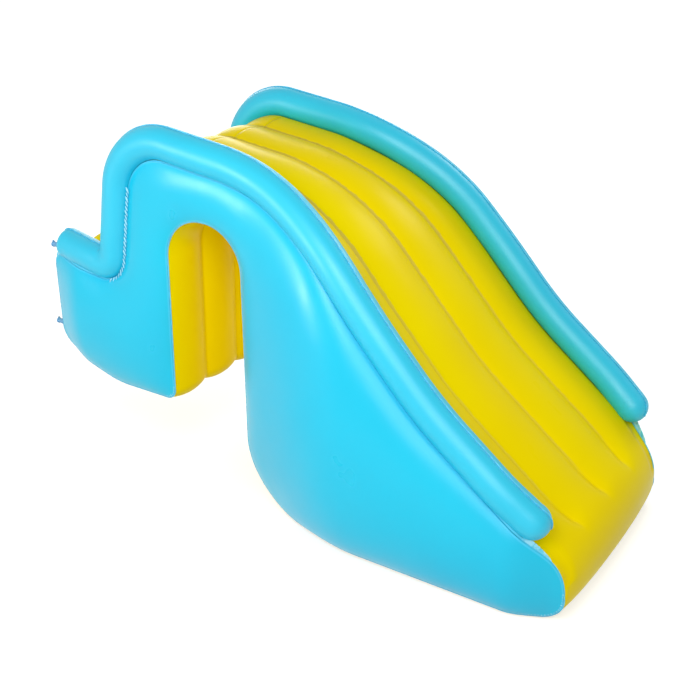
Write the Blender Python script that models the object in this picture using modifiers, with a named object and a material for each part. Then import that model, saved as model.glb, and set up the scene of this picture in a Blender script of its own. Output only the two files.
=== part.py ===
"""Inflatable pool slide: a blown-up vinyl body that straddles a pool wall, with two side rails.

Metres, +Z up, +X towards the foot of the slide, Y across it. The near side is at -Y.
The slide hangs on the wall in its slot, so the origin is at the top of the slot.
Every blown-up sheet is a thin skin of its own, welded to its neighbours at named seams.
"""

import math

import bmesh
import bpy
import numpy
from mathutils import Vector
from mathutils.geometry import delaunay_2d_cdt

# Sizes of the blown-up body, measured at the side seams
SLOT_WIDTH = 0.285
SLOT_HEIGHT = 0.925
BRIDGE_HEIGHT = 0.145
STEP_LEG_LENGTH = 0.540
STEP_LEG_HEIGHT = 0.357
TREAD_LENGTH = 0.341
TREAD_RISE = 0.040
RISER_HEIGHT = 0.460
RISER_LEAN = 0.078
SOLE_RISE = 0.085
SOLE_FLAT = 0.250
SLOT_LIP_LEAN = 0.014
CREST_REACH = 0.183
SLIDE_LENGTH = 0.915
NOSE_HEIGHT = 0.150
HEAD_WIDTH = 0.660
FOOT_WIDTH = 0.835
NOSE_DRAW = 0.050
NOSE_DRAW_LENGTH = 0.160
REAR_DRAW = 0.035
REAR_DRAW_LENGTH = 0.160
FLARE_LENGTH_SHARE = 0.30
PLATFORM_SLOPE_SHARE = 0.127
RUNOUT_REACH_SHARE = 0.4995
RUNOUT_LEVEL_SHARE = 0.420

# Corner radii of the side seams
STEP_END_RADIUS = 0.030
TREAD_CORNER_RADIUS = 0.105
RISER_TOP_RADIUS = 0.140
CREST_RADIUS = 0.740
RUNOUT_RADIUS = 1.300
NOSE_TOP_RADIUS = 0.240
NOSE_FOOT_RADIUS = 0.060
HEEL_RADIUS = 0.225
ARCH_RADIUS = 0.141
SLOT_LIP_RADIUS = 0.035
SOLE_RADIUS = 0.350
SOLE_HEEL_RADIUS = 0.060

# The film, its ridges and its welds
SHEET_THICKNESS = 0.00045
WELD_GAP = 0.0003
RIDGE_CROWN = 0.018
FLOOR_CROWN = 0.014
NOSE_CROWN = 0.032
NOSE_FRONT_CROWN_SHARE = 0.55
RIDGE_FADE_LENGTH = 0.130
RIDGE_FADE_MARGIN = 0.020
PANEL_FULLNESS_SHARE = 0.32
PANEL_EDGE_DROP = 0.001
SEAM_THICKNESS = 0.0012
SEAM_FIN_HEIGHT = 0.004
SEAM_ROOT_DEPTH = 0.003
WEB_EDGE_GAP = 0.0011
AIR_HOLE_RADIUS = 0.036

# The side rails
RAIL_RADIUS = 0.052
RAIL_GAP = 0.0005
RAIL_INSET = 0.015
RAIL_SEAT_SHARE = 0.85
RAIL_REAR_SETBACK = 0.075
RAIL_FRONT_SETBACK = 0.100
RAIL_REAR_CAP_LENGTH = 0.045
RAIL_VALVE_DROP = 0.018
RAIL_SEAM_HEIGHT = 0.003
RAIL_SEAM_THICKNESS = 0.001
RAIL_SEAM_END_GAP = 0.0006
GUSSET_FRONT_LENGTH = 0.120
GUSSET_REAR_LENGTH = 0.062
GUSSET_START = 0.020
GUSSET_LEAST_HEIGHT = 0.002
GUSSET_PUCKER = 0.0014
GUSSET_FRONT_CAP_GAP = 0.0009
GUSSET_REAR_CAP_GAP = 0.0045
GUSSET_REACH_SHARE = 0.80

# The air valves, along their own axis from the skin outwards
VALVE_RUNNING_GAP = 0.0003
VALVE_STEM_RADIUS = 0.0085
VALVE_STEM_LENGTH = 0.044
VALVE_STEM_TAIL = 0.010
VALVE_BORE_RADIUS = 0.005
VALVE_RIM_LIP = 0.0012
VALVE_RIM_HEIGHT = 0.003
VALVE_RIM_RADIUS = VALVE_STEM_RADIUS + VALVE_RIM_LIP
VALVE_HOLE_CLEARANCE = 0.0011
VALVE_HOLE_RADIUS = VALVE_STEM_RADIUS + VALVE_HOLE_CLEARANCE
VALVE_STOP_LIP = 0.0012
VALVE_STOP_THICKNESS = 0.0016
VALVE_NECK_HEIGHT = 0.018
VALVE_NECK_BORE = VALVE_STEM_RADIUS + VALVE_RUNNING_GAP
VALVE_NECK_WALL = 0.0027
VALVE_NECK_TOP_RADIUS = VALVE_NECK_BORE + VALVE_NECK_WALL
VALVE_NECK_FLARE = 0.004
VALVE_NECK_FOOT_RADIUS = VALVE_NECK_TOP_RADIUS + VALVE_NECK_FLARE
VALVE_FLANGE_REACH = 0.0055
VALVE_FLANGE_RADIUS = VALVE_NECK_FOOT_RADIUS + VALVE_FLANGE_REACH
VALVE_FLANGE_THICKNESS = 0.001
VALVE_PAD_MARGIN = 0.001
VALVE_PAD_HALF = VALVE_FLANGE_RADIUS + VALVE_PAD_MARGIN
VALVE_PAD_BORDER = 0.006
VALVE_CAP_THICKNESS = 0.0026
VALVE_PLUG_DEPTH = 0.006
VALVE_PLUG_CLEARANCE = 0.0004
VALVE_PLUG_TAPER = 0.0016
VALVE_HINGE_OVERHANG = 0.0038
VALVE_HINGE_REACH = VALVE_RIM_RADIUS + VALVE_HINGE_OVERHANG
VALVE_STRAP_WIDTH = 0.006
VALVE_STRAP_THICKNESS = 0.0016
VALVE_FLAP_LAP = 0.0012
VALVE_FLAP_RADIUS = VALVE_BORE_RADIUS + VALVE_FLAP_LAP
VALVE_FLAP_THICKNESS = 0.0008
BODY_VALVE_MARGIN = 0.008
BODY_VALVE_LEVEL_SHARE = 0.115
CUT_OVERRUN = 0.004

# How finely the rounds and sheets are cut, as angles, steps, counts and shares
LARGEST_FILLET_SHARE = 0.49
ARC_STEP_DEGREES = 20
LONG_ARC_STEP = 0.110
LONG_EDGE = 0.190
RAIL_SIDES = 12
TURN_STEPS = 12
AIR_HOLE_SIDES = 8
GUSSET_COLUMNS = 9
GUSSET_ROWS = 3
GUSSET_FOLD_STEP = 2.1
FRONT_CAP_DEGREES = (30, 58, 80)
REAR_CAP_TURN_SHARES = (0.8, 0.55, 0.28)
PANEL_RING_INSETS = (0.018, 0.045, 0.085)
PANEL_GRID = 0.085
WEB_GRID = 0.250
GRID_STAGGER_SHARE = 0.5
RING_CLEAR_SHARE = 0.9
RING_SPREAD_SHARE = 0.7
AIR_HOLE_CLEAR_SHARE = 1.6
FLAT_MERGE = 0.0000001
TURN_MERGE = 0.00001
RIDGE_EDGE_SHARES = (0.0, 0.09, 0.22, 0.40, 0.66, 0.86, 1.0)
RIDGE_MIDDLE_SHARES = (0.0, 0.22, 0.5, 0.78, 1.0)
RIDGE_ROUNDNESS_SHARE = 0.8
NOSE_ROUNDNESS_SHARE = 0.55

VINYL_BLUE = (0.03, 0.60, 0.90, 1.0)
VINYL_YELLOW = (0.85, 0.68, 0.0, 1.0)
VALVE_BLUE = (0.13, 0.38, 0.62, 1.0)
VALVE_GREY = (0.45, 0.60, 0.72, 1.0)

FILM_ROUGHNESS = 0.22
VALVE_ROUGHNESS = 0.3

NEAR = -1
FAR = 1
FACING_REAR = (0.0, -math.pi / 2, 0.0)


def new_collection(name):
    collection = bpy.data.collections.new(name)
    bpy.context.scene.collection.children.link(collection)
    return collection


def clear_scene():
    for item in list(bpy.data.objects):
        bpy.data.objects.remove(item, do_unlink=True)


def vinyl(name, colour, roughness):
    material = bpy.data.materials.new(name)
    material.use_nodes = True
    surface = material.node_tree.nodes["Principled BSDF"]
    surface.inputs["Base Color"].default_value = colour
    surface.inputs["Roughness"].default_value = roughness
    surface.inputs["Metallic"].default_value = 0.0
    material.diffuse_color = colour
    return material


def place(name, mesh, colour, roughness=FILM_ROUGHNESS):
    """Make the named piece from its mesh, in the slide's collection and under its origin."""
    item = bpy.data.objects.new(name, mesh)
    PIECES.objects.link(item)
    item.data.materials.append(vinyl(name + "_vinyl", colour, roughness))
    item.parent = ORIGIN
    return item


def mesh_from(name, points, faces, smooth=True):
    mesh = bpy.data.meshes.new(name)
    mesh.from_pydata([tuple(point) for point in points], [], faces)
    mesh.update()
    if smooth:
        mesh.shade_smooth()
    return mesh


def thicken(item, offset=-1.0):
    """Give an open skin its film thickness, grown inwards from its outer face."""
    wall = item.modifiers.new("film", "SOLIDIFY")
    wall.thickness = SHEET_THICKNESS
    wall.offset = offset
    wall.use_even_offset = True
    return item


def smooth_step(value):
    value = min(max(value, 0.0), 1.0)
    return value * value * (3.0 - 2.0 * value)


clear_scene()
PIECES = new_collection("inflatable_water_slide")
CUTTERS = new_collection("inflatable_water_slide_cutters")
ORIGIN = bpy.data.objects.new("slide_origin", None)
ORIGIN.location.z = -SLOT_HEIGHT
PIECES.objects.link(ORIGIN)


# The side seams: one closed outline in the XZ plane, clockwise seen from the near side
def seam_corners():
    """Corner name, x, z and radius, from the rear of the step over the slide and back."""
    rear = -SLOT_WIDTH / 2 - STEP_LEG_LENGTH
    tread_x = rear + TREAD_LENGTH
    riser_x = tread_x + RISER_LEAN
    crest_x = SLOT_WIDTH / 2 + CREST_REACH
    bridge = SLOT_HEIGHT + BRIDGE_HEIGHT
    riser_z = bridge - PLATFORM_SLOPE_SHARE * riser_x
    crest_z = bridge - PLATFORM_SLOPE_SHARE * crest_x
    tread_z = riser_z - RISER_HEIGHT
    sole_z = tread_z - STEP_LEG_HEIGHT
    nose_x = crest_x + SLIDE_LENGTH
    nose_z = FLOOR_CROWN + NOSE_HEIGHT
    runout_x = crest_x + RUNOUT_REACH_SHARE * SLIDE_LENGTH
    runout_z = nose_z + RUNOUT_LEVEL_SHARE * (crest_z - nose_z)
    lip_x = -SLOT_WIDTH / 2 - SLOT_LIP_LEAN
    return [
        ("step_end", rear, tread_z + TREAD_RISE, STEP_END_RADIUS),
        ("tread_corner", tread_x, tread_z, TREAD_CORNER_RADIUS),
        ("riser_top", riser_x, riser_z, RISER_TOP_RADIUS),
        ("crest", crest_x, crest_z, CREST_RADIUS),
        ("runout", runout_x, runout_z, RUNOUT_RADIUS),
        ("nose_top", nose_x, nose_z, NOSE_TOP_RADIUS),
        ("nose_foot", nose_x, FLOOR_CROWN, NOSE_FOOT_RADIUS),
        ("heel", SLOT_WIDTH / 2, FLOOR_CROWN, HEEL_RADIUS),
        ("arch_front", SLOT_WIDTH / 2, SLOT_HEIGHT, ARCH_RADIUS),
        ("arch_rear", -SLOT_WIDTH / 2, SLOT_HEIGHT, ARCH_RADIUS),
        ("slot_lip", lip_x, sole_z, SLOT_LIP_RADIUS),
        ("sole_knee", lip_x - SOLE_FLAT, sole_z, SOLE_RADIUS),
        ("sole_heel", rear, sole_z + SOLE_RISE, SOLE_HEEL_RADIUS),
    ]


def turned(direction, angle):
    """A flat direction turned anticlockwise."""
    cos = math.cos(angle)
    sin = math.sin(angle)
    return Vector((direction.x * cos - direction.y * sin, direction.x * sin + direction.y * cos))


class Outline:
    """Stations round the side seams: each has a point, an outward normal and a direction."""

    def __init__(self, corners):
        self.points = []
        self.normals = []
        self.first = {}
        self.last = {}
        arcs = [self.fillet(corners, index) for index in range(len(corners))]
        for index, (corner, arc) in enumerate(zip(corners, arcs)):
            self.first[corner[0]] = len(self.points)
            for point, normal in arc:
                self.points.append(point)
                self.normals.append(normal)
            self.last[corner[0]] = len(self.points) - 1
            self.add_edge(arc[-1], arcs[(index + 1) % len(arcs)][0])

    def fillet(self, corners, index):
        corner = Vector(corners[index][1:3])
        before = corner - Vector(corners[index - 1][1:3])
        after = Vector(corners[(index + 1) % len(corners)][1:3]) - corner
        turn = before.angle_signed(after)
        half = math.tan(abs(turn) / 2)
        longest = LARGEST_FILLET_SHARE * min(before.length, after.length)
        reach = min(corners[index][3] * half, longest)
        radius = reach / half
        steps = math.ceil(math.degrees(abs(turn)) / ARC_STEP_DEGREES)
        steps = max(2, steps, math.ceil(radius * abs(turn) / LONG_ARC_STEP))
        outward = Vector((-before.y, before.x)).normalized()
        side = 1.0 if turn > 0 else -1.0
        start = corner - before.normalized() * reach
        centre = start - outward * side * radius
        arc = []
        for step in range(steps + 1):
            normal = turned(outward, -turn * step / steps)
            arc.append((centre + normal * side * radius, normal))
        return arc

    def add_edge(self, start, end):
        """Stations along a straight edge, between the arcs at its ends."""
        length = (end[0] - start[0]).length
        pieces = max(1, round(length / LONG_EDGE))
        for step in range(1, pieces):
            self.points.append(start[0].lerp(end[0], step / pieces))
            self.normals.append(start[1])

    def span(self, start, end):
        """Station numbers from one to the other, going on past the start of the list."""
        count = len(self.points)
        return [number % count for number in range(start, end + 1 if end >= start else end + count + 1)]

    def tangent(self, number):
        normal = self.normals[number]
        return Vector((normal.y, -normal.x))


SEAM = Outline(seam_corners())
CORNER_X = {corner[0]: corner[1] for corner in seam_corners()}
CORNER_Z = {corner[0]: corner[2] for corner in seam_corners()}
FADE_START_X = CORNER_X["nose_top"] - RIDGE_FADE_LENGTH
RAIL_FIRST = SEAM.last["step_end"]
RAIL_LAST = SEAM.first["nose_top"]
UNDER_RAIL = set(SEAM.span(RAIL_FIRST, RAIL_LAST + 1))
LOW_SEAM = set(SEAM.span(SEAM.first["step_end"], SEAM.last["nose_top"]))
EDGE_SETBACK = SEAM_THICKNESS / 2 + WELD_GAP


def half_width(x):
    """Half the distance between the side seams at this place along the slide."""
    flare_length = CORNER_X["crest"] + FLARE_LENGTH_SHARE * SLIDE_LENGTH - SLOT_WIDTH / 2
    flare = smooth_step((x - SLOT_WIDTH / 2) / flare_length)
    at_nose = smooth_step((x - CORNER_X["nose_top"] + NOSE_DRAW_LENGTH) / NOSE_DRAW_LENGTH)
    at_rear = smooth_step((CORNER_X["step_end"] + REAR_DRAW_LENGTH - x) / REAR_DRAW_LENGTH)
    width = HEAD_WIDTH + (FOOT_WIDTH - HEAD_WIDTH) * flare
    return width / 2 - NOSE_DRAW * at_nose - REAR_DRAW * at_rear


def sheet_y(across, x):
    """Y of a share of the way from the middle to a side seam, -1 to 1."""
    return across * (half_width(x) - EDGE_SETBACK)


# Yellow sheets between the side seams, blown out into four ridges
def ridge_columns():
    """Shares across the body, -1 to 1, of the columns of a sheet."""
    edge = [-1.0 + share / 2 for share in RIDGE_EDGE_SHARES]
    middle = [-0.5 + share / 2 for share in RIDGE_MIDDLE_SHARES[1:]]
    half = edge + middle
    return half + [-across for across in reversed(half[:-1])]


def seat_height(y, x):
    """How far the rail lets the sheet rise under it; the rail's own radius away from it."""
    aside = min(abs(abs(y) - half_width(x) + RAIL_INSET), RAIL_RADIUS)
    return RAIL_SEAT_SHARE * (RAIL_RADIUS - math.sqrt(RAIL_RADIUS**2 - aside**2))


def crown_height(across, x, normal, under_rail):
    """How far the blown sheet stands out from the seams at this place."""
    share = (across + 1.0) * 2.0 % 1.0
    ridge = RIDGE_CROWN * (4 * share * (1 - share)) ** RIDGE_ROUNDNESS_SHARE
    upward = (1.0 + normal.y) / 2
    at_front = NOSE_FRONT_CROWN_SHARE + (1.0 - NOSE_FRONT_CROWN_SHARE) * upward
    broad = NOSE_CROWN * at_front * (1 - across**2) ** NOSE_ROUNDNESS_SHARE
    fade = smooth_step((x - FADE_START_X) / (RIDGE_FADE_LENGTH - RIDGE_FADE_MARGIN))
    height = ridge * (1 - fade) + broad * fade
    return min(height, seat_height(sheet_y(across, x), x)) if under_rail else height


def sheet_row(base, normal, columns, under_rail=False):
    """One row of a sheet's outer face, over this point of the side seams."""
    row = []
    for across in columns:
        point = base + normal * crown_height(across, base.x, normal, under_rail)
        row.append((point.x, sheet_y(across, base.x), max(point.y, 0.0)))
    return row


def sheet_from_rows(name, rows, colour=VINYL_YELLOW):
    columns = len(rows[0])
    faces = []
    for row in range(len(rows) - 1):
        for column in range(columns - 1):
            corner = row * columns + column
            faces.append((corner, corner + columns, corner + columns + 1, corner + 1))
    points = [point for row in rows for point in row]
    return place(name, mesh_from(name, points, faces), colour)


def ribbon_sheet(name, start, end):
    """A sheet between two stations of the side seams, a weld gap short of its neighbours."""
    numbers = SEAM.span(start, end)
    columns = ridge_columns()
    rows = []
    for number in numbers:
        along = 0.0
        if number == numbers[0]:
            along = WELD_GAP / 2
        if number == numbers[-1]:
            along = -WELD_GAP / 2
        base = SEAM.points[number] + SEAM.tangent(number) * along
        rows.append(sheet_row(base, SEAM.normals[number], columns, number in UNDER_RAIL))
    return thicken(sheet_from_rows(name, rows))


def body_valve_place():
    """Where the body valve's flange meets the rear sheet."""
    x = CORNER_X["step_end"]
    inset = EDGE_SETBACK + BODY_VALVE_MARGIN + VALVE_PAD_HALF
    y = inset - half_width(x)
    low = CORNER_Z["sole_heel"]
    z = low + BODY_VALVE_LEVEL_SHARE * (CORNER_Z["step_end"] - low)
    across = y / (half_width(x) - EDGE_SETBACK)
    return Vector((x - crown_height(across, x, Vector((-1.0, 0.0)), False), y, z))


def rear_base(level):
    """The point and normal of the side seams up the rear of the step, at this height."""
    numbers = SEAM.span(SEAM.first["sole_heel"], SEAM.first["step_end"])
    for low, high in zip(numbers, numbers[1:]):
        rise = SEAM.points[high].y - SEAM.points[low].y
        share = (level - SEAM.points[low].y) / rise
        if share <= 1.0:
            break
    normal = SEAM.normals[low].lerp(SEAM.normals[high], share).normalized()
    return SEAM.points[low].lerp(SEAM.points[high], share), normal


def rear_levels(valve):
    """Heights of the rear sheet's rows: the pad's own, and the stations clear of those."""
    numbers = SEAM.span(SEAM.first["sole_heel"], SEAM.first["step_end"])
    stations = [SEAM.points[number].y for number in numbers]
    stations[0] += WELD_GAP / 2
    stations[-1] -= WELD_GAP / 2
    levels = [valve.z + side * VALVE_PAD_HALF for side in (-1, 0, 1)]
    levels.append((levels[-1] + stations[-1]) / 2)
    for station in stations:
        if all(abs(station - level) > VALVE_PAD_MARGIN for level in levels):
            levels.append(station)
    return sorted(levels)


def rear_sheet(name):
    """The sheet at the rear of the step, with a flat pad and a hole for the body valve."""
    valve = body_valve_place()
    edge = half_width(CORNER_X["step_end"]) - EDGE_SETBACK
    border = VALVE_PAD_HALF + VALVE_PAD_BORDER
    columns = [across for across in ridge_columns() if abs(across * edge - valve.y) > border]
    columns += [(valve.y + side * VALVE_PAD_HALF) / edge for side in (-1, 0, 1)]
    columns.sort()
    rows = []
    for level in rear_levels(valve):
        base, normal = rear_base(level)
        row = sheet_row(base, normal, columns)
        rows.append([on_pad(point, level, valve) for point in row])
    sheet = thicken(sheet_from_rows(name, rows))
    depth = 2 * (SHEET_THICKNESS + CUT_OVERRUN)
    add_boolean(sheet, cylinder_mesh(VALVE_HOLE_RADIUS, depth), "DIFFERENCE", valve)
    return sheet


def on_pad(point, level, valve):
    """The point of a row at this level, moved onto the valve's flat pad if it is within it."""
    reach = VALVE_PAD_HALF + VALVE_PAD_BORDER / 2
    inside_pad = abs(point[1] - valve.y) < reach and abs(level - valve.z) < reach
    return (valve.x, point[1], level) if inside_pad else point


def cylinder_mesh(radius, depth):
    mesh = bpy.data.meshes.new("hole")
    round_bar = bmesh.new()
    bmesh.ops.create_cone(
        round_bar,
        cap_ends=True,
        segments=TURN_STEPS,
        radius1=radius,
        radius2=radius,
        depth=depth,
    )
    round_bar.to_mesh(mesh)
    round_bar.free()
    return mesh


def add_boolean(item, mesh, operation, location=(0.0, 0.0, 0.0)):
    """Cut a shape from a piece, or join it on, in the frame of the piece's parent."""
    helper = bpy.data.objects.new(item.name + "_" + operation.lower(), mesh)
    CUTTERS.objects.link(helper)
    helper.hide_render = True
    helper.display_type = "WIRE"
    helper.parent = item.parent
    helper.location = location
    if item.parent == ORIGIN:
        helper.rotation_euler = FACING_REAR
    cut = item.modifiers.new(helper.name, "BOOLEAN")
    cut.operation = operation
    cut.solver = "EXACT"
    cut.object = helper


# Flat fills of the side outline, for the side panels and the inner webs
def inset_outline(depth, past=math.inf):
    """The side seams drawn in by a depth, with what lies past an X left out."""
    loop = []
    for point, normal in zip(SEAM.points, SEAM.normals):
        if point.x < past:
            loop.append(point - normal * depth)
    return loop


def distance_to_loop(point, loop):
    nearest = math.inf
    for start, end in zip(loop, loop[1:] + loop[:1]):
        edge = end - start
        share = min(max((point - start).dot(edge) / edge.length_squared, 0.0), 1.0)
        nearest = min(nearest, (start + edge * share - point).length)
    return nearest


def inside_loop(point, loop):
    crossed = False
    for start, end in zip(loop, loop[1:] + loop[:1]):
        if (start.y > point.y) != (end.y > point.y):
            reach = (point.y - start.y) / (end.y - start.y)
            if point.x < start.x + reach * (end.x - start.x):
                crossed = not crossed
    return crossed


def ring_points(loop, depths):
    """Points that follow the outline at these depths, thinned where they crowd."""
    kept = []
    for depth in depths:
        for point in inset_outline(depth):
            clear = inside_loop(point, loop)
            clear = clear and distance_to_loop(point, loop) > RING_CLEAR_SHARE * depth
            spread = RING_SPREAD_SHARE * depth
            if clear and all((point - other).length > spread for other in kept):
                kept.append(point)
    return kept


def grid_points(loop, spacing, margin):
    """Staggered rows of points over the middle of the outline."""
    low = Vector((min(point.x for point in loop), min(point.y for point in loop)))
    high = Vector((max(point.x for point in loop), max(point.y for point in loop)))
    kept = []
    for row in range(math.ceil((high.y - low.y) / spacing) + 1):
        for column in range(math.ceil((high.x - low.x) / spacing) + 1):
            along = column + GRID_STAGGER_SHARE * (row % 2)
            point = low + Vector((along, row)) * spacing
            if inside_loop(point, loop) and distance_to_loop(point, loop) > margin:
                kept.append(point)
    return kept


def circle_points(centre, radius, count):
    circle = []
    for index in range(count):
        angle = 2 * math.pi * index / count
        circle.append(centre + Vector((math.cos(angle), math.sin(angle))) * radius)
    return circle


def fill_outline(loop, hole_centres, extra):
    """Triangles over a flat outline, without its round air holes, through the extra points."""
    points = list(loop)
    edges = [(index, (index + 1) % len(loop)) for index in range(len(loop))]
    for centre in hole_centres:
        first = len(points)
        points += circle_points(centre, AIR_HOLE_RADIUS, AIR_HOLE_SIDES)
        for side in range(AIR_HOLE_SIDES):
            edges.append((first + side, first + (side + 1) % AIR_HOLE_SIDES))
    clear = AIR_HOLE_CLEAR_SHARE * AIR_HOLE_RADIUS
    for point in extra:
        if all((point - centre).length > clear for centre in hole_centres):
            points.append(point)
    filled = delaunay_2d_cdt(points, edges, [], 1, FLAT_MERGE)
    triangles = []
    for face in filled[2]:
        middle = (filled[0][face[0]] + filled[0][face[1]] + filled[0][face[2]]) / 3
        in_hole = any((middle - centre).length < AIR_HOLE_RADIUS for centre in hole_centres)
        if inside_loop(middle, loop) and not in_hole:
            triangles.append(tuple(face))
    return filled[0], triangles


def blown_heights(points, triangles, held):
    """How far a film held at its edge stands out when blown up, by the membrane equation."""
    count = len(points)
    stiffness = numpy.zeros((count, count))
    load = numpy.zeros(count)
    for face in triangles:
        for turn in range(3):
            apex, left, right = face[turn], face[(turn + 1) % 3], face[(turn + 2) % 3]
            to_left = points[left] - points[apex]
            to_right = points[right] - points[apex]
            double_area = abs(to_left.x * to_right.y - to_left.y * to_right.x)
            weight = 0.5 * to_left.dot(to_right) / double_area
            stiffness[left, right] -= weight
            stiffness[right, left] -= weight
            stiffness[left, left] += weight
            stiffness[right, right] += weight
            load[apex] += double_area / 6
    free = list(range(held, count))
    heights = numpy.zeros(count)
    heights[free] = numpy.linalg.solve(stiffness[numpy.ix_(free, free)], load[free])
    return [math.sqrt(2 * max(height, 0.0)) for height in heights]


def side_panel(name, side):
    """A blue side of the body, swollen between the seams round its whole outline."""
    loop = inset_outline(PANEL_EDGE_DROP)
    extra = ring_points(loop, PANEL_RING_INSETS)
    extra += grid_points(loop, PANEL_GRID, PANEL_RING_INSETS[-1] + PANEL_GRID / 2)
    flat, triangles = fill_outline(loop, [], extra)
    swell = blown_heights(flat, triangles, len(loop))
    points = []
    for point, height in zip(flat, swell):
        edge = half_width(point.x) + EDGE_SETBACK + SHEET_THICKNESS
        points.append((point.x, side * (edge + PANEL_FULLNESS_SHARE * height), point.y))
    faces = triangles if side == NEAR else [face[::-1] for face in triangles]
    return thicken(place(name, mesh_from(name, points, faces), VINYL_BLUE))


def air_hole_centres():
    """Places of a web's air holes: over each leg and along the slide."""
    corners = {name: Vector((CORNER_X[name], CORNER_Z[name])) for name in CORNER_X}
    pairs = [
        ("tread_corner", "sole_knee"),
        ("riser_top", "slot_lip"),
        ("crest", "heel"),
        ("runout", "heel"),
    ]
    return [(corners[one] + corners[other]) / 2 for one, other in pairs]


def inner_web(name, across):
    """A sheet that ties the top to the bottom along a valley, with holes for the air."""
    loop = inset_outline(WEB_EDGE_GAP, FADE_START_X)
    extra = grid_points(loop, WEB_GRID, WEB_GRID / 2)
    flat, triangles = fill_outline(loop, air_hole_centres(), extra)
    points = [(point.x, sheet_y(across, point.x), point.y) for point in flat]
    return thicken(place(name, mesh_from(name, points, triangles), VINYL_YELLOW), 0.0)


# Welds, and the rails that stand on them
def closed_loft(name, sections, ring=False):
    """A blue solid through four-sided sections, closed at its ends or into a ring."""
    count = len(sections[0])
    points = [point for section in sections for point in section]
    faces = []
    for index in range(len(sections) if ring else len(sections) - 1):
        here = index * count
        there = (index + 1) % len(sections) * count
        for corner in range(count):
            after = (corner + 1) % count
            faces.append((here + corner, there + corner, there + after, here + after))
    if not ring:
        faces.append(tuple(range(count)))
        faces.append(tuple(range(len(points) - 1, len(points) - 1 - count, -1)))
    mesh = mesh_from(name, points, faces, smooth=False)
    solid = bmesh.new()
    solid.from_mesh(mesh)
    bmesh.ops.recalc_face_normals(solid, faces=solid.faces)
    solid.to_mesh(mesh)
    solid.free()
    return place(name, mesh, VINYL_BLUE)


def rail_floor(aside):
    """How high the rail's underside is over the side seams, this far from its middle line."""
    return RAIL_GAP + RAIL_RADIUS - math.sqrt(RAIL_RADIUS**2 - aside**2)


def low_seam_top():
    """The top of the weld where a rail lies on it."""
    return rail_floor(RAIL_INSET - SEAM_THICKNESS / 2) - WELD_GAP


def perimeter_seam(name, side):
    """The weld round one side of the body, which the panel and the yellow sheets meet."""
    sections = []
    for number, (point, normal) in enumerate(zip(SEAM.points, SEAM.normals)):
        top = low_seam_top() if number in LOW_SEAM else SEAM_FIN_HEIGHT
        low = point - normal * SEAM_ROOT_DEPTH
        high = point + normal * top
        inner = side * (half_width(point.x) - SEAM_THICKNESS / 2)
        outer = side * (half_width(point.x) + SEAM_THICKNESS / 2)
        corners = [(low, inner), (low, outer), (high, outer), (high, inner)]
        sections.append([(spot.x, y, spot.y) for spot, y in corners])
    return closed_loft(name, sections, ring=True)


class Ring:
    """One section of a rail: its middle, its radius and the way its top and side face."""

    def __init__(self, middle, up, aside, radius, lean=0.0):
        self.middle = middle
        self.up = up
        self.aside = aside
        self.radius = radius
        self.lean = lean

    def points(self):
        circle = []
        for step in range(RAIL_SIDES):
            angle = 2 * math.pi * step / RAIL_SIDES
            spoke = self.up * math.cos(angle) + self.aside * math.sin(angle)
            circle.append(self.middle + spoke * self.radius)
        return circle

    def seam_section(self):
        """The weld's section on top of the ring, leaning with the film on the end caps."""
        forward = self.aside.cross(self.up)
        out = self.up * math.cos(self.lean) + forward * math.sin(self.lean)
        foot = self.middle + self.up * self.radius + out * WELD_GAP
        half = self.aside * (RAIL_SEAM_THICKNESS / 2)
        tip = out * RAIL_SEAM_HEIGHT
        return [foot - half, foot + half, foot + half + tip, foot - half + tip]


def rail_axis(side):
    """Middle points and upward directions of a rail, along the tops of the side seams."""
    middles = []
    ups = []
    for number in SEAM.span(RAIL_FIRST, RAIL_LAST):
        point = SEAM.points[number]
        normal = SEAM.normals[number]
        middle = point + normal * (RAIL_GAP + RAIL_RADIUS)
        middles.append(Vector((middle.x, side * (half_width(point.x) - RAIL_INSET), middle.y)))
        ups.append(Vector((normal.x, 0.0, normal.y)))
    middles[-1] += (middles[-2] - middles[-1]).normalized() * RAIL_FRONT_SETBACK
    first_run = middles[1] - middles[0]
    rear_x = CORNER_X["step_end"] + RAIL_REAR_SETBACK
    middles[0] += first_run * ((rear_x - middles[0].x) / first_run.x)
    return middles, ups


def rail_rings(side):
    middles, ups = rail_axis(side)
    rings = []
    for index, (middle, up) in enumerate(zip(middles, ups)):
        run = middles[min(index + 1, len(middles) - 1)] - middles[max(index - 1, 0)]
        rings.append(Ring(middle, up, up.cross(run).normalized(), RAIL_RADIUS))
    return rear_cap(rings[0]) + rings + front_cap(rings[-1])


def rear_cap_pad():
    """The turn at which the rear cap goes flat, and how far behind the tube that is."""
    turn = math.acos((VALVE_PAD_HALF + VALVE_RUNNING_GAP) / RAIL_RADIUS)
    return turn, RAIL_REAR_CAP_LENGTH * math.sin(turn)


def rear_cap_sag(back):
    """How far the rear cap's middle has come down towards its valve, this far behind."""
    turn = math.asin(back / RAIL_REAR_CAP_LENGTH)
    return RAIL_VALVE_DROP * (1 - math.cos(turn)) / (1 - math.cos(rear_cap_pad()[0]))


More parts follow.
